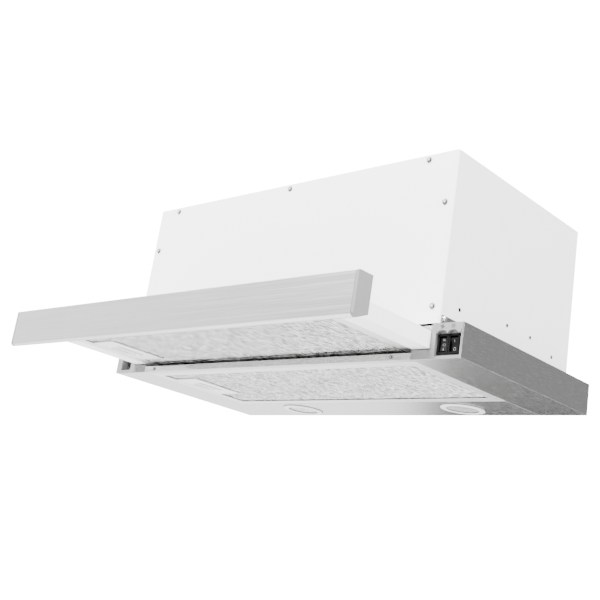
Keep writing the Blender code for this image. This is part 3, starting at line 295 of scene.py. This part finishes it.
# %% Plastics and rubber
def moulded(name, colour, roughness, grain=1500, height=0.00003, gloss=0.5):
    """Plastic or rubber with a tool's grain, in cells per metre, and its height in metres."""
    made, shader = new_finish(name, colour, roughness)
    shader.inputs["Specular IOR Level"].default_value = gloss
    erosion = stretched_noise(made, (grain, grain, grain), 2.0)
    relief(made, shader, erosion, height, 0.3)
    spread(made, shader, erosion, "Roughness", roughness - 0.05, roughness + 0.07)
    flow = stretched_noise(made, (25, 25, 25), 2.0)
    tint(made, shader, flow, tuple(c * 0.94 for c in colour), colour)
    return made


block_grey = moulded("block_grey", (0.17, 0.17, 0.17), 0.46)
cap_grey = moulded("cap_grey", (0.19, 0.19, 0.19), 0.42)
switch_black = moulded("switch_black", (0.003, 0.003, 0.003), 0.5, gloss=0.06)
rocker_black = moulded("rocker_black", (0.004, 0.004, 0.0042), 0.38, 2200, 0.00001, 0.10)
lamp_white = moulded("lamp_white", (0.72, 0.72, 0.71), 0.38)
pale_plastic = moulded("pale_plastic", (0.66, 0.66, 0.64), 0.48)
collar_black = moulded("collar_black", (0.012, 0.012, 0.013), 0.5, gloss=0.4)
scroll_grey = moulded("scroll_grey", (0.13, 0.135, 0.14), 0.55)
wheel_grey = moulded("wheel_grey", (0.05, 0.05, 0.055), 0.5)
buffer_rubber = moulded("buffer_rubber", (0.005, 0.005, 0.005), 0.72, 900, 0.00006, 0.1)
loom_sleeve = moulded("loom_sleeve", (0.014, 0.014, 0.015), 0.66, 500, 0.0002, 0.3)
print("plastics and rubber, from", block_grey.name, "to", loom_sleeve.name)

# %% [markdown]
# The filters are aluminium. Their rims are rolled, with faint lines along the roll, and the latch
# plates are pressed from brighter sheet. Zinc plate on the screws and the motor shows small crystals,
# which a Voronoi pattern gives.

# %% Aluminium and zinc
def rolled_aluminium(name, colour, roughness, scale, shade=0.94):
    """Aluminium with lines along its roll, whose darkest streak is a share of its colour; a small share turns
    the streaks into painted glints and shade.
    """
    made, shader = new_finish(name, colour, roughness, 1.0)
    lines = stretched_noise(made, scale, 3.0)
    tint(made, shader, lines, tuple(c * shade for c in colour), colour, 0.38, 0.62)
    spread(made, shader, lines, "Roughness", roughness - 0.05, roughness + 0.07)
    relief(made, shader, lines, 0.00003, 0.25)
    return made


rim_aluminium = rolled_aluminium("rim_aluminium", (0.80, 0.80, 0.80), 0.36, (40, 900, 900))
latch_aluminium = rolled_aluminium("latch_aluminium", (0.90, 0.90, 0.90), 0.42, (900, 40, 900))
# The strands' strong light and dark patches are painted glints and painted shade, not lines of the roll.
strand_painted_glints = rolled_aluminium("strand_painted_glints", (0.97, 0.97, 0.965), 0.16, (330, 120, 330), 0.42)


def zinc_plate(name, colour, roughness):
    """Zinc whose crystals differ in shade and in roughness."""
    made, shader = new_finish(name, colour, roughness, 1.0)
    nodes, links = made.node_tree.nodes, made.node_tree.links
    coordinates = nodes.new("ShaderNodeTexCoord")
    crystals = nodes.new("ShaderNodeTexVoronoi")
    crystals.inputs["Scale"].default_value = 320.0
    links.new(coordinates.outputs["Object"], crystals.inputs["Vector"])
    separate = nodes.new("ShaderNodeSeparateColor")
    links.new(crystals.outputs["Color"], separate.inputs["Color"])
    tint(made, shader, separate.outputs["Red"], tuple(c * 0.86 for c in colour), colour, 0.0, 1.0)
    spread(made, shader, separate.outputs["Green"], "Roughness", roughness - 0.06, roughness + 0.06)
    return made


zinc = zinc_plate("zinc_plate", (0.62, 0.63, 0.66), 0.32)
bright_zinc = zinc_plate("bright_zinc", (0.82, 0.83, 0.85), 0.24)
print("three kinds of aluminium and two of zinc")

# %% [markdown]
# Each part gets its finish through its material slot, and a copy made from a part keeps it. The list goes
# by what the real part is made of. The filters' packs and the lamps' lenses aren't in it, because they are
# made anew further down with finishes of their own.

# %% Give the parts their finishes
finishes = {
    housing_white: ["housing_wrap", "front_cover", "rear_panel", "cover_angle_right", "cover_angle_left",
                    "cover_angle_top"],
    drawer_white: ["drawer_frame"],
    steel_lengthwise: ["side_rail_right", "side_rail_left"],
    steel_across: ["lamp_panel", "crossbar"],
    fascia_steel: ["fascia"],
    cap_grey: ["end_cap_right", "end_cap_left"],
    block_grey: ["control_block", "end_block"],
    buffer_rubber: ["buffer"],
    switch_black: ["fan_switch_body", "lamp_switch_body"],
    rocker_black: ["fan_rocker", "lamp_rocker"],
    lamp_white: ["lamp_bezel_left", "lamp_bezel_right", "lamp_module_left", "lamp_module_right"],
    pale_plastic: ["runner_right", "runner_left", "flap_front", "flap_rear", "capacitor", "terminal_box"],
    collar_black: ["outlet_collar", "cable_gland"],
    scroll_grey: ["scroll_left", "scroll_right"],
    wheel_grey: ["impeller_left", "impeller_right"],
    loom_sleeve: ["wiring_loom"],
    zinc: ["guide_right", "guide_left", "motor", "motor_bracket", "motor_shaft", "capacitor_clip"],
    bright_zinc: ["crossbar_screw_left", "crossbar_screw_right", "rail_screw_right", "rail_screw_left",
                  "front_latch_spring", "rear_latch_spring"],
    rim_aluminium: ["front_filter_rim", "rear_filter_rim"],
    latch_aluminium: ["front_latch", "rear_latch", "front_latch_pocket", "rear_latch_pocket"],
}
for finish, names in finishes.items():
    for name in names:
        frame["nodes"][name].data.materials.clear()
        frame["nodes"][name].data.materials.append(finish)
print(sum(len(names) for names in finishes.values()), "parts have a finish")

# %% [markdown]
# A folded sheet is never knife-sharp: the edge of a cut sheet and the outside of a bend both have a
# small radius, and that radius is what catches the light. The parts come as exact shapes with sharp
# edges, so the visible ones are copied, their triangles are merged back into faces, and a Bevel rounds
# every edge. The copy stands for the part and keeps its finish. A Bevel modifier is better than beveling
# by hand here, because its angle limit finds the edges by itself.

# %% Hand a piece over
body_of = {node: body for body, nodes in frame["record"]["behaviour"]["bodies"].items() for node in nodes}
slot_of = {entry["node"]: entry["material_slot"] for entry in frame["record"]["subparts"]}


def piece_done(obj, body, *nodes, slot=None):
    """Leaves a finished piece unselected, on its body, and standing for the parts that it replaces."""
    deselect_all()
    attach(obj, body)
    if nodes:
        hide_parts(*nodes)
    return obj


print(len(body_of), "parts have a body and", len(set(slot_of.values())), "material slots are in use")

# %% Copy a part and round its edges
def editable_copy(node, name):
    """A part's mesh as a new object, its triangles merged into whole faces."""
    deselect_all()
    source = frame["nodes"][node]
    obj = bpy.data.objects.new(name, source.data.copy())
    bpy.context.scene.collection.objects.link(obj)
    obj.select_set(True)
    bpy.context.view_layer.objects.active = obj
    bpy.ops.object.mode_set(mode="EDIT")
    bpy.ops.mesh.select_all(action="SELECT")
    bpy.ops.mesh.remove_doubles(threshold=0.00001)
    bpy.ops.mesh.dissolve_limited(angle_limit=math.radians(0.5))
    bpy.ops.object.mode_set(mode="OBJECT")
    return obj


def apply_modifiers(obj):
    """Applies each modifier in turn, from the top of the list."""
    bpy.context.view_layer.objects.active = obj
    for modifier in list(obj.modifiers):
        bpy.ops.object.modifier_apply(modifier=modifier.name)


def round_edges(obj, width, segments=2, angle=40):
    """Rounds every edge that is sharper than an angle in degrees."""
    bevel = obj.modifiers.new("edges", "BEVEL")
    bevel.width = width
    bevel.segments = segments
    bevel.limit_method = "ANGLE"
    bevel.angle_limit = math.radians(angle)
    apply_modifiers(obj)


def smooth_shading(obj, angle=50):
    """Smooth shading that leaves the flat faces flat: big faces set the normals at their corners."""
    deselect_all()
    obj.select_set(True)
    bpy.context.view_layer.objects.active = obj
    bpy.ops.object.shade_smooth_by_angle(angle=math.radians(angle))
    weighted = obj.modifiers.new("flat_faces", "WEIGHTED_NORMAL")
    weighted.keep_sharp = True
    weighted.weight = 100
    apply_modifiers(obj)


def softened(node, width):
    """A copy of a part with rounded edges, which stands for the part."""
    obj = editable_copy(node, node + "_soft")
    round_edges(obj, width)
    smooth_shading(obj)
    return piece_done(obj, body_of[node], node, slot=slot_of[node])


print("ready to soften parts")

# %% Soften the parts that show
edge_radii = {
    "fascia": 0.0003, "side_rail_right": 0.0004, "side_rail_left": 0.0004, "lamp_panel": 0.0003,
    "crossbar": 0.0003, "drawer_frame": 0.00025, "front_cover": 0.0003, "housing_wrap": 0.0003,
    "rear_panel": 0.0003, "front_filter_rim": 0.0003, "rear_filter_rim": 0.0003,
    "front_latch_pocket": 0.0003, "rear_latch_pocket": 0.0003, "front_latch": 0.0004, "rear_latch": 0.0004,
    "control_block": 0.0004, "end_block": 0.0004, "end_cap_right": 0.0012, "end_cap_left": 0.0012,
    "runner_right": 0.0004, "runner_left": 0.0004, "outlet_collar": 0.0004, "buffer": 0.0004,
    "fan_switch_body": 0.0003, "lamp_switch_body": 0.0003, "terminal_box": 0.0005,
}
for node, radius in edge_radii.items():
    soft = softened(node, radius)
    print(node, len(soft.data.polygons), "faces")

# %% [markdown]
# The filters are packs of expanded aluminium. The maker slits a foil in staggered rows and pulls it open,
# so each row of strands runs up and down in a zigzag and touches the next row at its tips: a net of
# diamonds. One zigzag step is extruded here, mirrored to give the row beside it, and two Array modifiers
# repeat the pair. Real strands beat a bump map, because each one glints on its own and light falls
# between them on the layer behind.

# %% One step of the net
STEP = 0.0052
ROW = 0.0030
STRAND_RADIUS = 0.00046


def new_mesh_object(name):
    """An empty mesh that the next operators in edit mode fill."""
    deselect_all()
    obj = bpy.data.objects.new(name, bpy.data.meshes.new(name))
    bpy.context.scene.collection.objects.link(obj)
    obj.select_set(True)
    bpy.context.view_layer.objects.active = obj
    return obj


def select_where(obj, test):
    """Selects the vertices that pass a test, for the next operator in edit mode."""
    bpy.ops.object.mode_set(mode="EDIT")
    bpy.ops.mesh.select_mode(type="VERT")
    bpy.ops.mesh.select_all(action="DESELECT")
    bpy.ops.object.mode_set(mode="OBJECT")
    for vertex in obj.data.vertices:
        vertex.select = test(vertex.co)
    bpy.ops.object.mode_set(mode="EDIT")


net_step = new_mesh_object("net_step")
bpy.ops.object.mode_set(mode="EDIT")
bpy.ops.mesh.primitive_circle_add(vertices=3, radius=STRAND_RADIUS, fill_type="NOTHING",
                                  rotation=(0, math.pi / 2, 0.0))
bpy.ops.transform.resize(value=(1, 1.0, 0.9))
for rise in (ROW / 2, -ROW / 2):
    bpy.ops.mesh.extrude_region_move(TRANSFORM_OT_translate={"value": (STEP / 2, rise, 0)})
bpy.ops.mesh.select_all(action="SELECT")
bpy.ops.mesh.duplicate()
bpy.ops.transform.resize(value=(1, -1, 1), center_override=(0, 0, 0))
bpy.ops.transform.translate(value=(0, ROW, 0))
bpy.ops.mesh.select_all(action="SELECT")
bpy.ops.mesh.normals_make_consistent(inside=False)
bpy.ops.object.mode_set(mode="OBJECT")
print("a net step has", len(net_step.data.polygons), "faces")

# %% [markdown]
# One sheet of net lies below the pack and one above it, shifted by a quarter of a step, so that the lower
# one's gaps show strands and not an even pattern. Foil never lies quite flat, so a Displace modifier
# crumples both a little.

# %% Repeat it into a sheet
NET_MARGIN = 0.004
NET_GAP = 0.0008
POCKET_GAP = 0.0008


def net_sheet(name, left, right, front, back, height):
    """A sheet of net that fills a rectangle at a height."""
    deselect_all()
    obj = bpy.data.objects.new(name, net_step.data.copy())
    bpy.context.scene.collection.objects.link(obj)
    obj.select_set(True)
    bpy.context.view_layer.objects.active = obj
    steps, rows = int((right - left) / STEP), int((back - front) / ROW)
    for count, offset in ((steps, (STEP, 0, 0)), (rows, (0, ROW, 0))):
        repeat = obj.modifiers.new("repeat", "ARRAY")
        repeat.count = count
        repeat.use_relative_offset = False
        repeat.use_constant_offset = True
        repeat.constant_offset_displace = offset
        repeat.use_merge_vertices = offset[0] > 0
        repeat.merge_threshold = 0.00005
    apply_modifiers(obj)
    bpy.ops.object.mode_set(mode="EDIT")
    bpy.ops.mesh.select_all(action="SELECT")
    bpy.ops.transform.translate(value=(left, front, height))
    bpy.ops.object.mode_set(mode="OBJECT")
    return obj


def node_box(node):
    """The corners of a part's own box."""
    points = [frame["nodes"][node].matrix_world @ vertex.co for vertex in frame["nodes"][node].data.vertices]
    return tuple(Vector(pick(p[i] for p in points) for i in range(3)) for pick in (min, max))


def crumple(sheet):
    """Presses the sheet slightly out of flat, as thin foil is, so that patches of it glint in turn."""
    clouds = bpy.data.textures.new("foil_waves", "CLOUDS")
    clouds.noise_scale = 0.006
    wave = sheet.modifiers.new("waves", "DISPLACE")
    wave.texture = clouds
    wave.texture_coords = "GLOBAL"
    wave.direction = "Z"
    wave.mid_level = 0.5
    wave.strength = 0.0012
    deselect_all()
    apply_modifiers(sheet)


def filter_net(prefix):
    """A sheet below the pack and one above it, cut out round the latch pocket."""
    low, high = node_box(prefix + "_filter_mesh")
    pocket_low, pocket_high = node_box(prefix + "_latch_pocket")
    layers = []
    for index, (height, shift) in enumerate(((low.z + NET_GAP, 0.0), (high.z - NET_GAP, 0.25))):
        name = f"{prefix}_filter_net_{index}"
        sheet = net_sheet(name, low.x + NET_MARGIN + shift * STEP, high.x - NET_MARGIN,
                          low.y + NET_MARGIN + shift * ROW, high.y - NET_MARGIN, height)
        select_where(sheet, lambda p: p.x < pocket_high.x + POCKET_GAP
                     and pocket_low.y - POCKET_GAP < p.y < pocket_high.y + POCKET_GAP)
        bpy.ops.mesh.delete(type="VERT")
        bpy.ops.mesh.select_all(action="SELECT")
        bpy.ops.mesh.fill_holes(sides=3)
        bpy.ops.object.mode_set(mode="OBJECT")
        crumple(sheet)
        sheet.data.materials.append(strand_painted_glints)
        piece_done(sheet, body_of[prefix + "_filter_mesh"], slot=slot_of[prefix + "_filter_mesh"])
        layers.append(sheet)
    return layers


for prefix in ("front", "rear"):
    for layer in filter_net(prefix):
        print(layer.name, len(layer.data.polygons), "faces")
bpy.data.objects.remove(net_step)

# %% [markdown]
# Behind the outer sheets the pack is a dim tangle. The solid slab of the part is pressed thinner so that the
# nets stand clear of it,
# and its finish is painted shade: a dark colour in the net's own pattern stands for the shade between the
# pack's bright layers, with the same pattern as a bump.

# %% The pack behind the net
PACK_THICKNESS = 0.0002
PACK_RISE = 0.0006


def painted_shade_pack_finish():
    """Painted shade for the pack's depth: dark colour and relief that repeat the net's cells."""
    made, shader = new_finish("net_pack_painted_shade", (0.42, 0.42, 0.42), 0.5, 1.0)
    nodes, links = made.node_tree.nodes, made.node_tree.links
    coordinates = nodes.new("ShaderNodeTexCoord")
    mapping = nodes.new("ShaderNodeMapping")
    mapping.inputs["Scale"].default_value = (1 / STEP, 1 / ROW, 1 / ROW)
    cells = nodes.new("ShaderNodeTexVoronoi")
    cells.inputs["Scale"].default_value = 1.6
    links.new(coordinates.outputs["Object"], mapping.inputs["Vector"])
    links.new(mapping.outputs["Vector"], cells.inputs["Vector"])
    # Painted shade: darker away from each cell's middle, for the shade that falls between the layers of net.
    tint(made, shader, cells.outputs["Distance"], (0.60, 0.60, 0.60), (0.05, 0.05, 0.05), 0.15, 0.55)
    relief(made, shader, cells.outputs["Distance"], 0.0006, 0.6)
    return made


pack = painted_shade_pack_finish()
for prefix in ("front", "rear"):
    node = prefix + "_filter_mesh"
    low, high = node_box(node)
    slab = editable_copy(node, node + "_pack")
    bpy.ops.object.mode_set(mode="EDIT")
    bpy.ops.mesh.select_all(action="SELECT")
    thinner = PACK_THICKNESS / (high.z - low.z)
    middle = (low + high) / 2 + Vector((0, 0, PACK_RISE))
    bpy.ops.transform.resize(value=(1, 1, thinner), center_override=tuple(middle))
    bpy.ops.object.mode_set(mode="OBJECT")
    slab.data.materials.clear()
    slab.data.materials.append(pack)
    piece_done(slab, body_of[node], node, slot=slot_of[node])
    print(slab.name, "is", 1000 * PACK_THICKNESS, "mm thick")

# %% [markdown]
# A rocker is moulded with a shallow dip across its face, so that a finger finds its middle. The part has
# the dip as a crease between two planes, and a bevel with a low angle limit rounds it into a curve.
# The marks are printed on: a stroke for on, a ring for off, and two strokes for the higher speed. They
# are modelled as a skin a tenth of a millimetre thick, because a texture would need an image.

# %% Rockers and their marks
def printed_ink(name, colour, roughness):
    """Ink with a slightly mottled edge-to-edge cover."""
    made, shader = new_finish(name, colour, roughness)
    mottle = stretched_noise(made, (1400, 1400, 1400), 2.0)
    tint(made, shader, mottle, tuple(c * 0.88 for c in colour), colour)
    relief(made, shader, mottle, 0.00002, 0.2)
    return made


white_ink = printed_ink("white_ink", (0.24, 0.24, 0.24), 0.5)
grey_ink = printed_ink("grey_ink", (0.012, 0.012, 0.012), 0.6)

DIP = math.atan(0.0010 / 0.0076)
DIP_FROM_PIVOT = 0.0046
INK = 0.00016
INK_LIFT = 0.00002
STROKE = (0.00042, 0.0026)
STROKE_SHIFTS = {"one": (0.0,), "two": (-0.0008, 0.0008), "ring": ()}
hinges = [joint for joint in frame["record"]["behaviour"]["joints"] if joint["type"] == "hinge"]
pivots = {joint["child"]: joint["pos_m"] for joint in hinges}


def add_stroke(place, lean, width, height):
    """A straight mark that leans back with the face it is on."""
    bpy.ops.mesh.primitive_cube_add(size=1, location=place, rotation=(lean, 0, 0), scale=(width, INK, height))


def add_ring(place, lean, radius, line):
    """A ring with a line of a given width."""
    facing = lean + math.pi / 2
    bpy.ops.mesh.primitive_torus_add(location=place, rotation=(facing, 0, 0), major_segments=24,
                                     minor_segments=6, major_radius=radius, minor_radius=line / 2)


def rocker_with_marks(node, tilt, marks):
    """The rocker with a rounded dip, and its marks placed along its face from the middle."""
    low, high = node_box(node)
    middle_x = (low.x + high.x) / 2
    pivot_y, pivot_z = pivots[node][1:]
    rocker = editable_copy(node, node + "_curved")
    round_edges(rocker, 0.0006, 3, 8)
    smooth_shading(rocker, 60)
    piece_done(rocker, body_of[node], node, slot=slot_of[node])
    prints = new_mesh_object(node + "_marks")
    bpy.ops.object.mode_set(mode="EDIT")
    for kind, along in marks:
        lean = math.copysign(DIP, along) if along else 0.0
        out = -DIP_FROM_PIVOT - abs(along) * math.sin(DIP) - INK_LIFT
        up = along * math.cos(DIP)
        y = pivot_y + out * math.cos(tilt) - up * math.sin(tilt)
        z = pivot_z + out * math.sin(tilt) + up * math.cos(tilt)
        if kind == "ring":
            add_ring((middle_x, y, z), lean + tilt, 0.0015, 0.0004)
        for shift in STROKE_SHIFTS[kind]:
            add_stroke((middle_x + shift, y, z), lean + tilt, *STROKE)
    bpy.ops.object.mode_set(mode="OBJECT")
    prints.data.materials.append(white_ink)
    piece_done(prints, body_of[node], slot=slot_of[node])
    return prints


fan_marks = rocker_with_marks("fan_rocker", 0.0, (("two", 0.0052), ("ring", 0.0), ("one", -0.0052)))
lamp_marks = rocker_with_marks("lamp_rocker", math.radians(10), (("one", 0.0045), ("ring", -0.0045)))
print(len(fan_marks.data.polygons) + len(lamp_marks.data.polygons), "faces of print")

# %% [markdown]
# Above each switch the block is hollowed so that a fingertip can press the rocker's upper end. Only the
# brow between the two hollows is missing from the part, so it is a small plate with two arches cut out
# of its lower edge. A Boolean with two flat cylinders gives the arches their exact curve.

# %% The brow above the switches
ARCH_HALF_WIDTH = 0.0062
ARCH_RISE = 0.0033
BROW_THICKNESS = 0.0046
BROW_TOP = 0.0042

block_low, block_high = node_box("control_block")
switch_boxes = [node_box(name) for name in ("fan_switch_body", "lamp_switch_body")]
brow_low = Vector((switch_boxes[0][0].x - 0.0004, block_low.y, switch_boxes[0][1].z + 0.0002))
brow_high = Vector((switch_boxes[1][1].x + 0.0034, block_low.y + BROW_THICKNESS,
                    switch_boxes[0][1].z + BROW_TOP))
brow = new_mesh_object("control_block_brow")
bpy.ops.object.mode_set(mode="EDIT")
bpy.ops.mesh.primitive_cube_add(size=1, location=(brow_low + brow_high) / 2, scale=brow_high - brow_low)
bpy.ops.object.mode_set(mode="OBJECT")
for low, high in switch_boxes:
    arch_x = (low.x + high.x) / 2
    arch = new_mesh_object("arch")
    bpy.ops.object.mode_set(mode="EDIT")
    bpy.ops.mesh.primitive_cylinder_add(vertices=40, radius=1, depth=0.02, rotation=(math.pi / 2, 0, 0),
                                        location=(arch_x, brow_low.y, brow_low.z))
    bpy.ops.transform.resize(value=(ARCH_HALF_WIDTH, 1, ARCH_RISE), center_override=(arch_x, 0, brow_low.z))
    bpy.ops.object.mode_set(mode="OBJECT")
    cut = brow.modifiers.new("arch", "BOOLEAN")
    cut.object = arch
    cut.solver = "EXACT"
    deselect_all()
    apply_modifiers(brow)
    bpy.data.objects.remove(arch)
round_edges(brow, 0.0003)
smooth_shading(brow)
brow.data.materials.append(block_grey)
piece_done(brow, "hood_body", slot=slot_of["control_block"])
print("the brow has", len(brow.data.polygons), "faces")

# %% [markdown]
# Two signs are printed on the block above the switches, so that a hand finds the right one: a small fan
# and a lamp with its rays. Both are drawn with the simplest shapes that people read at once.

# %% Fan and lamp signs
SIGN_DROP = 0.0040
BLADE_REACH = 0.00170
BLADE_LEAN = 0.35
BULB_RADIUS = 0.00135
RAY_REACH = 0.00255


def add_dot(place, width, height, angle=0.0, corners=14):
    """A flat dot of ink that faces the front, stretched and turned."""
    bpy.ops.mesh.primitive_circle_add(vertices=corners, radius=1, fill_type="NGON", location=place,
                                      rotation=(math.pi / 2, 0, 0))
    bpy.ops.transform.resize(value=(width, 1, height), center_override=place)
    bpy.ops.transform.rotate(value=-angle, orient_axis="Y", center_override=place)
    bpy.ops.mesh.extrude_region_move(TRANSFORM_OT_translate={"value": (0, -INK / 2, 0)})


def sign_middle(low, high):
    """The middle of a sign, on the block's face above a switch's box."""
    return Vector(((low.x + high.x) / 2, block_low.y - INK_LIFT, block_high.z - SIGN_DROP))


signs = new_mesh_object("control_block_signs")
bpy.ops.object.mode_set(mode="EDIT")
fan_middle = sign_middle(*switch_boxes[0])
add_dot(fan_middle, 0.0005, 0.0005)
for index in range(4):
    angle = index * math.pi / 2
    swept = angle + BLADE_LEAN
    blade = fan_middle + Vector((math.sin(swept), 0, math.cos(swept))) * BLADE_REACH
    add_dot(blade, 0.00085, 0.00125, angle)
lamp_middle = sign_middle(*switch_boxes[1])
add_ring(lamp_middle, 0.0, BULB_RADIUS, 0.00065)
for index in range(8):
    angle = index * math.pi / 4
    ray = lamp_middle + Vector((math.sin(angle), 0, math.cos(angle))) * RAY_REACH
    add_dot(ray, 0.00036, 0.00055, angle, 8)
bpy.ops.mesh.select_all(action="SELECT")
bpy.ops.mesh.normals_make_consistent(inside=False)
bpy.ops.object.mode_set(mode="OBJECT")
signs.data.materials.append(grey_ink)
piece_done(signs, "hood_body", slot=slot_of["control_block"])
print("the signs have", len(signs.data.polygons), "faces")

# %% [markdown]
# The screws are pan heads with a cross recess. One head is turned from a disc that is drawn in and
# raised three times, which gives the dome, and a cross is cut into it. Every other head is a copy.

# %% A pan head with a cross recess
HEAD_RADIUS = 0.0034
CROSS_LENGTH = 0.0042
CROSS_WIDTH = 0.0010

head = new_mesh_object("pan_head")
bpy.ops.object.mode_set(mode="EDIT")
bpy.ops.mesh.primitive_circle_add(vertices=20, radius=HEAD_RADIUS, fill_type="NGON")
bpy.ops.mesh.extrude_region_move(TRANSFORM_OT_translate={"value": (0, 0, 0.0009)})
for shrink, rise in ((0.0004, 0.0005), (0.0007, 0.0004), (0.0009, 0.00018)):
    bpy.ops.mesh.inset(thickness=shrink, depth=rise)
bpy.ops.mesh.select_all(action="SELECT")
bpy.ops.mesh.normals_make_consistent(inside=False)
bpy.ops.object.mode_set(mode="OBJECT")
cross = new_mesh_object("cross")
bpy.ops.object.mode_set(mode="EDIT")
for size in ((CROSS_LENGTH, CROSS_WIDTH), (CROSS_WIDTH, CROSS_LENGTH)):
    bpy.ops.mesh.primitive_cube_add(size=1, location=(0, 0, 0.0021), scale=(*size, 0.0018))
bpy.ops.object.mode_set(mode="OBJECT")
cut = head.modifiers.new("cross", "BOOLEAN")
cut.object = cross
cut.solver = "EXACT"
cut.use_self = True
deselect_all()
apply_modifiers(head)
bpy.data.objects.remove(cross)
smooth_shading(head, 40)
print("a head has", len(head.data.polygons), "faces")


def place_head(name, place, outward, spin, finish, size=1.0):
    """A copy of the head that sits at a place and faces outward."""
    copy = bpy.data.objects.new(name, head.data.copy())
    bpy.context.scene.collection.objects.link(copy)
    turn = Vector(outward).to_track_quat("Z", "Y").to_matrix().to_4x4()
    spun = Matrix.Rotation(spin, 4, "Z") @ Matrix.Scale(size, 4)
    copy.data.transform(Matrix.Translation(place) @ turn @ spun)
    copy.data.materials.append(finish)
    return copy


# %% [markdown]
# Three screws run along the cover's upper edge and two down each side. Their places follow from the
# cover's box, and each is turned a little further than the last, because nobody tightens screws to the
# same angle. The other four sit where the part has its screw.

# %% Screws in the cover, the rails and the front bar
SCREW_FROM_TOP = 0.006
SCREW_FROM_SIDE = 0.0117
TOP_SPACING = 0.224
HEAD_SINK = 0.0016

dull_zinc = zinc_plate("dull_zinc", (0.075, 0.075, 0.078), 0.42)
cover_low, cover_high = node_box("front_cover")
cover_seat_y = block_low.y - 0.0001
side = cover_high.x - SCREW_FROM_SIDE
rows = (cover_high.z - 0.063, cover_low.z + 0.020)
places = [(x, cover_high.z - SCREW_FROM_TOP) for x in (-TOP_SPACING, 0.0, TOP_SPACING)]
places += [(x, z) for x in (-side, side) for z in rows]
for index, (x, z) in enumerate(places):
    screw = place_head(f"cover_screw_{index}", (x, cover_seat_y, z), (0, -1, 0), 0.4 * index, dull_zinc)
    piece_done(screw, "hood_body", slot=slot_of["front_cover"])
part_screws = (("rail_screw_right", (1, 0, 0), 0.92), ("rail_screw_left", (-1, 0, 0), 0.92),
               ("crossbar_screw_right", (0, -1, 0), 0.66), ("crossbar_screw_left", (0, -1, 0), 0.66))
for node, outward, size in part_screws:
    low, high = node_box(node)
    seat = (low + high) / 2
    axis = 0 if outward[0] else 1
    outer = high[axis] if outward[axis] > 0 else low[axis]
    seat[axis] = outer - outward[axis] * HEAD_SINK * size
    finish = bright_zinc if axis == 0 else dull_zinc
    screw = place_head(node + "_head", seat, outward, 0.3, finish, size)
    piece_done(screw, body_of[node], slot=slot_of[node])
bpy.data.objects.remove(head)
print(len(places) + len(part_screws), "screw heads")

# %% [markdown]
# A downlight shows three things from below: a pale ring that stands a little proud of the steel, a dark seam
# inside it, and a lens with rings moulded into it that spread the light. The dark seams are painted shade:
# black rings stand for the shade in the gaps round the ring and the lens. The lens starts as a disc and is
# drawn in ring by ring, up and down by a few tenths of a millimetre. The lamps are off, so the lens is clear,
# pebbled plastic that lets through some of what is behind it, and nothing in it glows.

# %% Lamp lenses and seams
LENS_RINGS = 9
RING_WIDTH = 0.0011
RING_HEIGHT = 0.0003
SEAM_RADIUS = 0.0004

clear_lens, lens_shader = new_finish("ribbed_lens", (0.93, 0.93, 0.93), 0.10)
lens_shader.inputs["Transmission Weight"].default_value = 0.55
lens_shader.inputs["IOR"].default_value = 1.49
pebbles = stretched_noise(clear_lens, (420, 420, 420), 1.0)
relief(clear_lens, lens_shader, pebbles, 0.0004, 0.7)
tint(clear_lens, lens_shader, pebbles, (0.62, 0.62, 0.62), (0.97, 0.97, 0.97), 0.35, 0.6)
seam_painted_shade = moulded("seam_painted_shade", (0.02, 0.02, 0.02), 0.6, gloss=0.1)
panel_underside = node_box("lamp_panel")[0].z

for side_name in ("left", "right"):
    low, high = node_box("lamp_lens_" + side_name)
    middle = (low + high) / 2
    radius = (high.x - low.x) / 2
    lens = new_mesh_object("lamp_lens_ribbed_" + side_name)
    bpy.ops.object.mode_set(mode="EDIT")
    bpy.ops.mesh.primitive_circle_add(vertices=72, radius=radius - 0.0006, fill_type="NGON",
                                      location=(middle.x, middle.y, high.z), rotation=(math.pi, 0, 0))
    bpy.ops.mesh.extrude_region_move(TRANSFORM_OT_translate={"value": (0, 0, low.z - high.z + 0.0006)})
    for ring in range(LENS_RINGS):
        for depth in (RING_HEIGHT, -RING_HEIGHT):
            bpy.ops.mesh.inset(thickness=RING_WIDTH, depth=depth)
    bpy.ops.mesh.select_all(action="SELECT")
    bpy.ops.mesh.normals_make_consistent(inside=False)
    bpy.ops.object.mode_set(mode="OBJECT")
    lens.data.materials.append(clear_lens)
    smooth_shading(lens, 60)
    piece_done(lens, "hood_body", "lamp_lens_" + side_name, slot=slot_of["lamp_lens_" + side_name])
    bezel_low, bezel_high = node_box("lamp_bezel_" + side_name)
    inner_seam = (radius + 0.0001, low.z + 0.0004)
    outer_seam = ((bezel_high.x - bezel_low.x) / 2 + 0.0003, panel_underside - 0.00005)
    # The seams are painted shade: black rings where the gaps round the lens and the ring lie in shade.
    seam = new_mesh_object("lamp_seam_" + side_name)
    bpy.ops.object.mode_set(mode="EDIT")
    for seam_reach, height in (inner_seam, outer_seam):
        bpy.ops.mesh.primitive_torus_add(location=(middle.x, middle.y, height), major_segments=72,
                                         minor_segments=6, major_radius=seam_reach, minor_radius=SEAM_RADIUS)
    bpy.ops.object.mode_set(mode="OBJECT")
    seam.data.materials.append(seam_painted_shade)
    piece_done(seam, "hood_body", slot=slot_of["lamp_bezel_" + side_name])
    softened("lamp_bezel_" + side_name, 0.0004)
    print(lens.name, len(lens.data.polygons), "faces")
